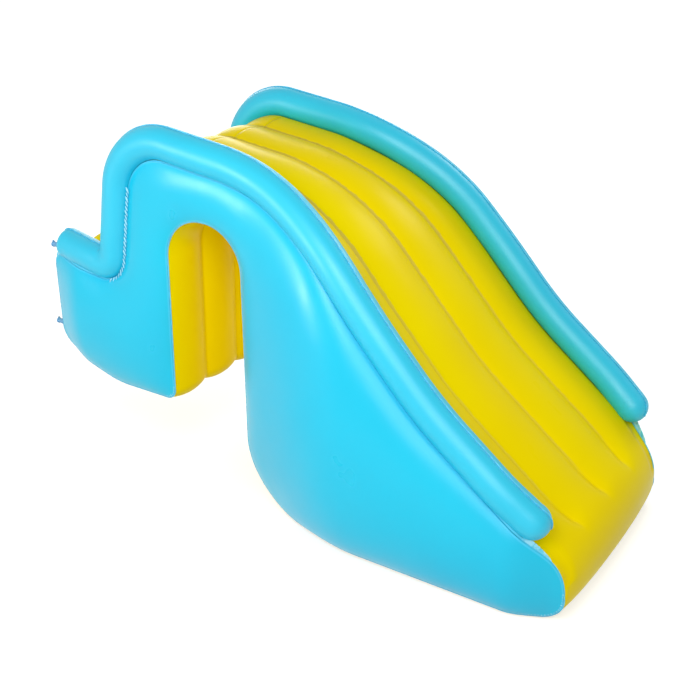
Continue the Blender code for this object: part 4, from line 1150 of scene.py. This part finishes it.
# Air valves, turned finely round their own axis
def valve_seat(valve):
    """Where the valve's axis meets the film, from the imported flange."""
    low, high = (Vector(corner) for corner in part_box(valve + "_flange"))
    return Vector((high.x + VALVE_GAP, (low.y + high.y) / 2, (low.z + high.z) / 2))


def turned(name, seat, profile, material, ring=False, straps=()):
    """A turned piece from its radii and heights, and the straps that stand out from it."""
    angles = np.linspace(0.0, 2.0 * math.pi, TURNED_STEPS, endpoint=False)
    points = []
    for radius, height in profile:
        points += [(-height, radius * math.sin(angle), radius * math.cos(angle)) for angle in angles]
    rows = len(profile)
    faces = grid_faces(rows + (1 if ring else 0), TURNED_STEPS, closed=True)
    faces = [tuple(corner % (rows * TURNED_STEPS) for corner in face) for face in faces]
    for strap in straps:
        first = len(points)
        xs, ys, zs = zip(*strap)
        points += [(-z, y, x) for z in zs for y in ys for x in xs]
        faces += [tuple(first + corner for corner in face) for face in STRAP_FACES]
    points = np.array(points) + np.array(seat) + np.array([0.0, 0.0, SLOT_HEIGHT])
    piece = new_piece(name, points, faces, [material])
    close_solid(piece, TURNED_MERGE)
    soft = piece.modifiers.new("soft_edges", "BEVEL")
    soft.width = SOFT_EDGE
    soft.segments = 3
    soft.limit_method = "ANGLE"
    soft.angle_limit = math.radians(35)
    return piece


def hinge_strap(low, high):
    """Two corners of the flat strap that reaches out from the rim to the cap's hinge."""
    start = RIM_RADIUS - STRAP_THICKNESS
    return ((start, -STRAP_WIDTH / 2, low), (HINGE_REACH, STRAP_WIDTH / 2, high))


def valve_flange(name, seat, material):
    """The skirt with its ring-shaped weld, and the neck with the soft folds that let it sink."""
    skirt_top = VALVE_GAP + SKIRT_THICKNESS
    profile = [(NECK_BORE, NECK_HEIGHT), (NECK_TOP_RADIUS, NECK_HEIGHT)]
    foot = skirt_top + SKIRT_THICKNESS
    for step in range(1, NECK_CUTS):
        share = step / NECK_CUTS
        radius = NECK_TOP_RADIUS + (NECK_FOOT_RADIUS - NECK_TOP_RADIUS) * share
        fold = NECK_FOLD_DEPTH * (1.0 - math.cos(2.0 * math.pi * NECK_FOLDS * share))
        profile.append((radius - fold, NECK_HEIGHT + (foot - NECK_HEIGHT) * share))
    profile.append((NECK_FOOT_RADIUS, foot))
    for step in range(1, SKIRT_CUTS):
        share = step / SKIRT_CUTS
        radius = NECK_FOOT_RADIUS + (SKIRT_RADIUS - NECK_FOOT_RADIUS) * share
        level = foot + (skirt_top - foot) * min(share * SKIRT_FALL, 1.0)
        rib = 0.0
        if share > SKIRT_RIB_START:
            rib = SKIRT_RIB_DEPTH * (0.5 - 0.5 * math.cos(2.0 * math.pi * SKIRT_RIBS * share))
        profile.append((radius, level - rib))
    profile += [(SKIRT_RADIUS, skirt_top), (SKIRT_RADIUS, VALVE_GAP), (NECK_BORE, VALVE_GAP)]
    return turned(name, seat, profile, material, ring=True)


def valve_stem(name, seat, material):
    """The tube that is pushed in, its rim, its stop inside the film and its hinge tab."""
    stop_top = -FILM - VALVE_GAP
    stop_low = stop_top - STRAP_THICKNESS
    stop_radius = HOLE_RADIUS + STOP_REACH
    rim_low = STEM_LENGTH - RIM_HEIGHT
    profile = [
        (BORE_RADIUS, STEM_LENGTH),
        (RIM_RADIUS - 0.0026, STEM_LENGTH),
        (RIM_RADIUS - 0.0022, STEM_LENGTH - 0.0003),
        (RIM_RADIUS - 0.0018, STEM_LENGTH),
        (RIM_RADIUS, STEM_LENGTH),
        (RIM_RADIUS, rim_low),
        (STEM_RADIUS, rim_low),
    ]
    for step in range(1, STEM_GROOVES + 1):
        level = rim_low - STEM_GROOVE_PITCH * step
        profile.append((STEM_RADIUS, level + STEM_GROOVE_HALF))
        profile.append((STEM_RADIUS - STEM_GROOVE_DEPTH, level))
        profile.append((STEM_RADIUS, level - STEM_GROOVE_HALF))
    profile += [
        (STEM_RADIUS, stop_top),
        (stop_radius, stop_top),
        (stop_radius, stop_low),
        (STEM_RADIUS, stop_low),
        (STEM_RADIUS, -STEM_TAIL),
        (BORE_RADIUS, -STEM_TAIL),
    ]
    top = STEM_LENGTH - VALVE_GAP
    tab = hinge_strap(top - STRAP_THICKNESS, top)
    return turned(name, seat, profile, material, ring=True, straps=[tab])


def valve_cap(name, seat, material):
    """The cap with its tapered plug, the shallow dish in its top and the strap to the tab."""
    low = STEM_LENGTH + VALVE_GAP
    top = low + CAP_THICKNESS
    plug = BORE_RADIUS - 0.0004
    profile = [
        (0.0, top - 0.0007),
        (0.0030, top - 0.0007),
        (0.0062, top - 0.0006),
        (0.0072, top - 0.0001),
        (0.0080, top),
        (RIM_RADIUS - VALVE_GAP, top),
        (RIM_RADIUS, low),
        (plug, low),
        (plug - 0.0002, low - 0.0010),
        (plug - 0.0006, low - 0.0013),
        (plug - 0.0016, low - PLUG_DEPTH),
        (0.0, low - PLUG_DEPTH),
    ]
    strap = hinge_strap(low, low + STRAP_THICKNESS)
    return turned(name, seat, profile, material, straps=[strap])


def valve_flap(name, seat, material):
    """The check flap's disc, with the shallow dimple in its inner face."""
    top = -STEM_TAIL - VALVE_GAP
    low = top - FLAP_THICKNESS
    profile = [
        (0.0, top),
        (FLAP_RADIUS, top),
        (FLAP_RADIUS, low),
        (0.0032, low),
        (0.0026, low + 0.0003),
        (0.0, low + 0.0003),
    ]
    return turned(name, seat, profile, material)


# Finishes
class Finish:
    """A node material for one finish, built up from its patterns."""

    def __init__(self, name):
        self.material = bpy.data.materials.new(name)
        self.material.use_nodes = True
        self.tree = self.material.node_tree
        self.surface = self.tree.nodes["Principled BSDF"]
        self.place = self.add("ShaderNodeTexCoord").outputs["Object"]

    def add(self, kind, **settings):
        """A new node of this kind with these settings."""
        node = self.tree.nodes.new(kind)
        for key, value in settings.items():
            setattr(node, key, value)
        return node

    def feed(self, socket, value):
        """Link another node's output to a socket, or set the socket to a number or colour."""
        if isinstance(value, bpy.types.NodeSocket):
            self.tree.links.new(value, socket)
        elif isinstance(value, tuple) and socket.type == "RGBA":
            socket.default_value = (*value, 1.0)
        else:
            socket.default_value = value

    def noise(self, scale, detail=2.0, stretch=None):
        """Soft noise over the piece, drawn out along the axes where a stretch is given."""
        node = self.add("ShaderNodeTexNoise")
        place = self.place
        if stretch is not None:
            turn = self.add("ShaderNodeMapping")
            self.feed(turn.inputs["Vector"], place)
            turn.inputs["Scale"].default_value = stretch
            place = turn.outputs["Vector"]
        self.feed(node.inputs["Vector"], place)
        self.feed(node.inputs["Scale"], scale)
        self.feed(node.inputs["Detail"], detail)
        return node.outputs["Fac"]

    def spread(self, value, low, high, to_low=0.0, to_high=1.0):
        """The value's way from low to high, eased, and laid over another range."""
        node = self.add("ShaderNodeMapRange", interpolation_type="SMOOTHSTEP")
        for index, given in enumerate((value, low, high, to_low, to_high)):
            self.feed(node.inputs[index], given)
        return node.outputs["Result"]

    def combined(self, one, other, operation="ADD"):
        """The result of one operation on two values."""
        node = self.add("ShaderNodeMath", operation=operation)
        self.feed(node.inputs[0], one)
        self.feed(node.inputs[1], other)
        return node.outputs["Value"]

    def blend(self, share, one, other):
        """One colour where the share is 0, and the other where it is 1."""
        node = self.add("ShaderNodeMix", data_type="RGBA")
        self.feed(node.inputs["Factor"], share)
        self.feed(node.inputs[6], one)
        self.feed(node.inputs[7], other)
        return node.outputs[2]

    def parts(self, vector):
        """The three parts of a place."""
        node = self.add("ShaderNodeSeparateXYZ")
        self.feed(node.inputs["Vector"], vector)
        return node.outputs["X"], node.outputs["Y"], node.outputs["Z"]

    def film_place(self):
        """The film's own two distances: across or along it, from its UV map."""
        across, along, _ = self.parts(self.add("ShaderNodeUVMap", uv_map="film").outputs["UV"])
        return across, along

    def from_line(self, value, period=1.0):
        """Distance to the nearest of the lines that lie one period apart."""
        return self.combined(value, period / 2, "PINGPONG")

    def weld_ribs(self, along, where):
        """Fine ribs pressed across a weld, where this share of it shows."""
        ribs = self.combined(self.from_line(along, WELD_RIB_PITCH), WELD_RIB_PITCH, "DIVIDE")
        return self.combined(ribs, where, "MULTIPLY")

    def bump(self, height, distance, strength=1.0, under=None):
        """Relief this high, on top of another relief where there is one under it."""
        node = self.add("ShaderNodeBump")
        node.inputs["Strength"].default_value = strength
        node.inputs["Distance"].default_value = distance
        self.feed(node.inputs["Height"], height)
        if under is not None:
            self.feed(node.inputs["Normal"], under)
        return node.outputs["Normal"]

    def done(self, colour, roughness, normal, specular=0.5, tint=(1.0, 1.0, 1.0)):
        """The finished material."""
        self.feed(self.surface.inputs["Base Color"], colour)
        self.feed(self.surface.inputs["Roughness"], roughness)
        self.feed(self.surface.inputs["Normal"], normal)
        self.surface.inputs["Specular IOR Level"].default_value = specular
        self.surface.inputs["Specular Tint"].default_value = (*tint, 1.0)
        return self.material


def shade(colour, share):
    """A darker colour of the same hue."""
    return tuple(channel * share for channel in colour)


def film_skin(finish, colour, deep):
    """Calendered vinyl film: slow clouding of its colour, a faint grain and soft ripples."""
    cloud = finish.spread(finish.noise(1.7), 0.30, 0.72)
    skin = finish.blend(cloud, deep, colour)
    gloss = finish.spread(finish.noise(6.0, 3.0), 0.25, 0.75, 0.27, 0.36)
    ripple = finish.bump(finish.noise(9.0), 0.0016, 0.35)
    grain = finish.bump(finish.noise(520.0), 0.00006, 0.5, ripple)
    return skin, gloss, grain


def yellow_finish():
    """Yellow film, with the pale dull stripe where an inner web is welded on, widened past the weld
    itself into painted shade along each valley.
    """
    finish = Finish("yellow_film")
    skin, gloss, grain = film_skin(finish, YELLOW, YELLOW_DEEP)
    across, along = finish.film_place()
    gap = finish.from_line(across)
    x, _, height = finish.parts(finish.place)
    # The stripe is wider and stronger than the weld alone: beyond the weld it is painted shade on the
    # valley's flank
    high_up = finish.spread(height, -0.45, 0.05, 0.45, 0.95)
    weld_and_shade_width = finish.spread(height, -0.45, 0.05, 0.030, 0.044)
    wander = finish.spread(finish.noise(38.0), 0.2, 0.8, 0.6, 1.1)
    wander = finish.combined(wander, weld_and_shade_width, "MULTIPLY")
    weld_and_valley_shade = finish.spread(finish.combined(gap, wander, "SUBTRACT"), 0.0, 0.010, 1.0, 0.0)
    inner = finish.combined(finish.combined(across, 2.0, "SUBTRACT"), 0.0, "ABSOLUTE")
    inner = finish.spread(inner, 1.4, 1.6, 1.0, 0.0)
    deck = finish.spread(x, 0.16, 0.24)
    deck = finish.combined(deck, finish.spread(height, 0.01, 0.07), "MAXIMUM")
    inner = finish.combined(inner, deck, "MULTIPLY")
    ahead = finish.spread(x, FADE_START_X - 0.05, FADE_START_X + 0.04, 1.0, 0.0)
    for share in (high_up, inner, ahead):
        weld_and_valley_shade = finish.combined(weld_and_valley_shade, share, "MULTIPLY")
    # Painted shade: the weld's tan is laid over the valley beside the weld too
    colour = finish.blend(weld_and_valley_shade, skin, YELLOW_WELD_AND_VALLEY_SHADE)
    dull = finish.combined(gloss, finish.combined(weld_and_valley_shade, 0.12, "MULTIPLY"))
    ribs = finish.bump(finish.weld_ribs(along, weld_and_valley_shade), 0.00035, 0.6, grain)
    return finish.done(colour, dull, ribs, 0.05, YELLOW_GLOSS)


def panel_finish():
    """Blue film, pressed into fine ribs along the weld round the panel's edge."""
    finish = Finish("blue_panel_film")
    skin, gloss, grain = film_skin(finish, BLUE, BLUE_DEEP)
    along, depth = finish.film_place()
    band = finish.spread(depth, 0.0035, 0.0055, 1.0, 0.0)
    colour = finish.blend(finish.combined(band, 0.40, "MULTIPLY"), skin, BLUE_WELD)
    ribs = finish.bump(finish.weld_ribs(along, band), 0.0004, 0.7, grain)
    return finish.done(colour, gloss, ribs, 0.56, BLUE_GLOSS)


def rail_finish():
    """Blue film of the rails, with the pressed band along both sides of the top weld."""
    finish = Finish("blue_rail_film")
    skin, gloss, grain = film_skin(finish, BLUE, BLUE_DEEP)
    turn, along = finish.film_place()
    band = finish.spread(finish.from_line(turn), 0.010, 0.017, 1.0, 0.0)
    colour = finish.blend(finish.combined(band, 0.5, "MULTIPLY"), skin, BLUE_WELD)
    ribs = finish.bump(finish.weld_ribs(along, band), 0.0004, 0.7, grain)
    softer = finish.combined(gloss, 0.12)
    return finish.done(colour, softer, ribs, 0.95, RAIL_GLOSS)


def slack_finish():
    """Blue film of the slack ends, crumpled all over, painted paler all over against its shade and with
    painted highlights on its folds.
    """
    finish = Finish("slack_blue_film")
    skin, gloss, grain = film_skin(finish, BLUE, BLUE_DEEP)
    folds = finish.noise(62.0, 3.0, stretch=(1.0, 1.0, 0.45))
    # Painted highlight: the pale colour is laid over the whole film, and most on the crests of the
    # crumple noise
    colour = finish.blend(finish.spread(folds, 0.32, 0.60, 0.25, 0.95), skin, BRAID_AND_SHEEN_BLUE)
    crease = finish.bump(folds, 0.0030, 0.6, grain)
    return finish.done(colour, gloss, crease, 0.50)


def seam_finish(name, pale):
    """The trimmed edge of two films welded together: paler, with tiny nicks."""
    finish = Finish(name)
    cloud = finish.spread(finish.noise(46.0, 3.0), 0.3, 0.7)
    colour = finish.blend(cloud, shade(pale, 0.82), pale)
    gloss = finish.spread(finish.noise(90.0), 0.3, 0.7, 0.26, 0.42)
    return finish.done(colour, gloss, finish.bump(finish.noise(420.0), 0.0003, 0.5))


def valve_finish(name, colour, deep):
    """Soft moulded vinyl with a fine spark grain and slightly rubbed high spots."""
    finish = Finish(name)
    cloud = finish.spread(finish.noise(120.0, 3.0), 0.3, 0.7)
    skin = finish.blend(cloud, deep, colour)
    gloss = finish.spread(finish.noise(260.0), 0.3, 0.7, 0.32, 0.48)
    return finish.done(skin, gloss, finish.bump(finish.noise(1600.0), 0.00008, 0.6))


BLUE = (0.001, 0.555, 0.770)
BLUE_DEEP = (0.0, 0.515, 0.735)
BLUE_WELD = (0.11, 0.62, 0.88)
# The pale folds along the welds, also used as painted highlight on the slack ends
BRAID_AND_SHEEN_BLUE = (0.36, 0.78, 0.94)
BLUE_GLOSS = (0.80, 0.90, 1.0)
RAIL_GLOSS = (0.85, 0.96, 1.0)
YELLOW_GLOSS = (1.0, 0.85, 0.10)
YELLOW = (0.940, 0.750, 0.0)
YELLOW_DEEP = (0.910, 0.700, 0.0)
# The tan of the welds, also used as painted shade in the valleys
YELLOW_WELD_AND_VALLEY_SHADE = (0.640, 0.500, 0.060)
VALVE_GREY = (0.150, 0.390, 0.640)
VALVE_GREY_DEEP = (0.120, 0.340, 0.590)
VALVE_BLUE = (0.110, 0.350, 0.640)
VALVE_BLUE_DEEP = (0.085, 0.300, 0.580)
WELD_RIB_PITCH = 0.0022

YELLOW_FILM = yellow_finish()
PANEL_BLUE = panel_finish()
RAIL_BLUE = rail_finish()
SLACK_BLUE = slack_finish()
SEAM_BLUE = seam_finish("blue_seam", BLUE_WELD)
BRAID_FILM = seam_finish("pale_weld_folds", BRAID_AND_SHEEN_BLUE)
GREY_VALVE = valve_finish("valve_grey", VALVE_GREY, VALVE_GREY_DEEP)
BLUE_VALVE = valve_finish("valve_blue", VALVE_BLUE, VALVE_BLUE_DEEP)
CRIMPS = crimp_tree()


# The slide itself
def dress_body():
    """The yellow sheets and the inner webs that hold them down."""
    ends = {
        "step_sheet": (SEAM.first["step_end"], SEAM.last["riser_top"]),
        "slide_deck_sheet": (SEAM.last["riser_top"], SEAM.last["nose_foot"]),
        "underside_sheet": (SEAM.last["nose_foot"], SEAM.first["heel"]),
        "slot_lining_sheet": (SEAM.first["heel"], SEAM.last["slot_lip"]),
        "sole_sheet": (SEAM.last["slot_lip"], SEAM.first["sole_heel"]),
    }
    for name, (start, end) in ends.items():
        dress_fine(yellow_sheet, name, "slide", "yellow_film", start, end, YELLOW_FILM)
    seat = valve_seat("body_valve")
    dress_fine(rear_sheet, "rear_sheet", "slide", "yellow_film", seat, YELLOW_FILM)
    for web in ("near_inner_web", "centre_inner_web", "far_inner_web"):
        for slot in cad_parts[web].material_slots:
            slot.material = YELLOW_FILM


def dress_side(name, side, seed):
    """One side's panel, seams, rail, gussets and the folds along its welds."""
    # Body, slot and side, for the film pieces and for the welds
    film, welds = ("slide", "blue_film", side), ("slide", "blue_seam", side)
    dress_fine(side_panel, f"{name}_side_panel", *film, PANEL_BLUE, seed)
    dress_fine(perimeter_weld, f"{name}_perimeter_seam", *welds, SEAM_BLUE, RAIL_BLUE)
    tube = dress_fine(rail_tube, f"{name}_rail_tube", *film, RAIL_BLUE, seed + 3)
    dress_fine(rail_weld, f"{name}_rail_seam", *welds, SEAM_BLUE)
    for end, step in (("front", 1), ("rear", -1)):
        dress_fine(rail_gusset, f"{name}_rail_{end}_gusset", *film, step, SLACK_BLUE, seed + 9)
    outward, upward = (0.0, float(side), 0.0), (0.0, 0.0, 1.0)
    # The first and last station of each run of folds
    riser = (SEAM.first["tread_corner"] + 6, SEAM.first["riser_top"] + 1)
    nose = (SEAM.first["nose_foot"] - 3, SEAM.last["nose_foot"] + 6)
    lip = (SEAM.first["slot_lip"] - 1, SEAM.last["slot_lip"] + 1)
    braid = seam_line(side, *riser, BRAID_LIFT, BRAID_OUTSET)
    inner_nips = rail_tick_line(side, -NIP_TURN)
    outer_nips = rail_tick_line(side, NIP_TURN)
    nose_edge = seam_line(side, *nose, EDGE_FOLD_LIFT, EDGE_FOLD_OUTSET)
    lip_edge = seam_line(side, *lip, EDGE_FOLD_LIFT, EDGE_FOLD_OUTSET)
    for label, line, material, facing, sizes in (
        ("rail_weld_folds", braid, BRAID_FILM, outward, BRAID_FOLDS),
        ("rail_nips_in", inner_nips, SEAM_BLUE, upward, RAIL_NIPS),
        ("rail_nips_out", outer_nips, SEAM_BLUE, upward, RAIL_NIPS),
        ("nose_edge_folds", nose_edge, BRAID_FILM, outward, EDGE_FOLDS),
        ("slot_lip_folds", lip_edge, BRAID_FILM, outward, EDGE_FOLDS),
    ):
        folds = crimped_line(f"{name}_{label}", line, material, facing, sizes)
        dress(folds, "slide", "blue_seam")


def dress_valve(valve):
    """One air valve: its flange stays on the slide, and the rest moves."""
    seat = valve_seat(valve)
    # The moving pieces' nodes are named as their bodies are
    stem, cap, flap = f"{valve}_stem", f"{valve}_cap", f"{valve}_flap"
    dress_fine(valve_flange, f"{valve}_flange", "slide", "valve_grey", seat, GREY_VALVE)
    dress_fine(valve_stem, stem, stem, "valve_grey", seat, GREY_VALVE)
    dress_fine(valve_cap, cap, cap, "valve_blue", seat, BLUE_VALVE)
    dress_fine(valve_flap, flap, flap, "valve_grey", seat, GREY_VALVE)


dress_body()
dress_side("near", side=-1, seed=11)
dress_side("far", side=1, seed=51)
for valve in ("body_valve", "near_rail_valve", "far_rail_valve"):
    dress_valve(valve)


# Floor, light and camera
def stage_floor(level):
    """A wide pale floor, brighter far off so that it runs into the background."""
    mesh = bpy.data.meshes.new("floor")
    ends = ((-1, -1), (1, -1), (1, 1), (-1, 1))
    corners = [(x * FLOOR_REACH, y * FLOOR_REACH, level) for x, y in ends]
    mesh.from_pydata(corners, [], [(0, 1, 2, 3)])
    floor = in_scene("floor", mesh)
    finish = Finish("pale_floor")
    speck = finish.spread(finish.noise(3.0), 0.3, 0.7)
    colour = finish.blend(speck, FLOOR_GREY, FLOOR_PALE_GREY)
    finish.feed(finish.surface.inputs["Base Color"], colour)
    finish.surface.inputs["Roughness"].default_value = 0.9
    finish.surface.inputs["Specular IOR Level"].default_value = 0.1
    path = finish.add("ShaderNodeLightPath")
    seen = finish.combined(path.outputs["Is Camera Ray"], path.outputs["Is Glossy Ray"], "MAXIMUM")
    out = finish.add("ShaderNodeVectorMath", operation="LENGTH")
    finish.feed(out.inputs[0], finish.place)
    glow = finish.spread(out.outputs["Value"], GLOW_START, GLOW_END, FLOOR_GLOW, BACKDROP_GLOW)
    glow = finish.combined(seen, glow, "MULTIPLY")
    finish.surface.inputs["Emission Color"].default_value = (1.0, 1.0, 1.0, 1.0)
    finish.feed(finish.surface.inputs["Emission Strength"], glow)
    mesh.materials.append(finish.material)


def softbox(name, towards, distance, width, height, power):
    """A soft lamp that stands this way from the slide's middle and faces it."""
    lamp = bpy.data.lights.new(name, "AREA")
    lamp.shape = "RECTANGLE"
    lamp.size, lamp.size_y = width, height
    lamp.energy = power
    holder = in_scene(name, lamp)
    towards = Vector(towards).normalized()
    holder.location = VIEW_TARGET + towards * distance
    holder.rotation_euler = towards.to_track_quat("Z", "Y").to_euler()


def studio_world():
    """Even light from all round, and white where the camera, gloss or clear film sees it."""
    world = bpy.data.worlds.new("studio")
    bpy.context.scene.world = world
    world.use_nodes = True
    tree = world.node_tree
    back = tree.nodes["Background"]
    back.inputs["Color"].default_value = (1.0, 1.0, 1.0, 1.0)
    path = tree.nodes.new("ShaderNodeLightPath")
    seen = tree.nodes.new("ShaderNodeMath")
    seen.operation = "MAXIMUM"
    also = tree.nodes.new("ShaderNodeMath")
    also.operation = "MAXIMUM"
    level = tree.nodes.new("ShaderNodeMapRange")
    level.inputs["To Min"].default_value = WORLD_FILL
    level.inputs["To Max"].default_value = 1.0
    tree.links.new(path.outputs["Is Camera Ray"], seen.inputs[0])
    tree.links.new(path.outputs["Is Glossy Ray"], seen.inputs[1])
    tree.links.new(seen.outputs["Value"], also.inputs[0])
    tree.links.new(path.outputs["Is Transmission Ray"], also.inputs[1])
    tree.links.new(also.outputs["Value"], level.inputs["Value"])
    tree.links.new(level.outputs["Result"], back.inputs["Strength"])


def set_camera():
    """The photograph's view, from the foot of the slide and a little above."""
    back = Vector(VIEW_BACK).normalized()
    right = Vector((0.0, 0.0, 1.0)).cross(back).normalized()
    up = back.cross(right)
    camera = bpy.data.cameras.new("view")
    camera.lens = LENS_LENGTH
    camera.sensor_width = SENSOR_WIDTH
    holder = in_scene("view", camera)
    turn = Matrix((right, up, back)).transposed().to_4x4()
    holder.matrix_world = Matrix.Translation(VIEW_TARGET + back * VIEW_DISTANCE) @ turn
    bpy.context.scene.camera = holder


VIEW_TARGET = Vector((0.3135, 0.0, -0.472))
VIEW_BACK = (0.4869, -0.7613, 0.4283)
VIEW_DISTANCE = 3.6
LENS_LENGTH = 57.09
SENSOR_WIDTH = 36.0
WORLD_FILL = 0.36
FLOOR_DROP = 0.0005
FLOOR_REACH = 14.0
FLOOR_GREY = (0.60, 0.60, 0.60)
FLOOR_PALE_GREY = (0.63, 0.63, 0.63)
FLOOR_GLOW = 0.60
BACKDROP_GLOW = 0.85
GLOW_START = 1.2
GLOW_END = 4.5

# Each lamp's name, direction from the slide's middle, distance, width, height and power
SOFTBOXES = (
    ("left_softbox", (-0.50, -0.82, 0.25), 3.55, 0.5, 0.9, 32.0),
    ("front_softbox", (0.5, -0.72, 0.5), 3.6, 2.4, 2.4, 46.0),
    ("back_softbox", (-0.6, 0.85, 0.35), 3.6, 2.4, 2.0, 46.0),
    ("rail_softbox", (0.2, -0.72, 0.62), 3.3, 1.1, 1.6, 27.0),
    ("far_softbox", (0.25, 0.75, 0.6), 3.2, 1.2, 1.0, 24.0),
)

stage_floor(CAD_LOW[2] - FLOOR_DROP)
studio_world()
for lamp in SOFTBOXES:
    softbox(*lamp)
set_camera()
bpy.context.scene.view_settings.view_transform = "Standard"
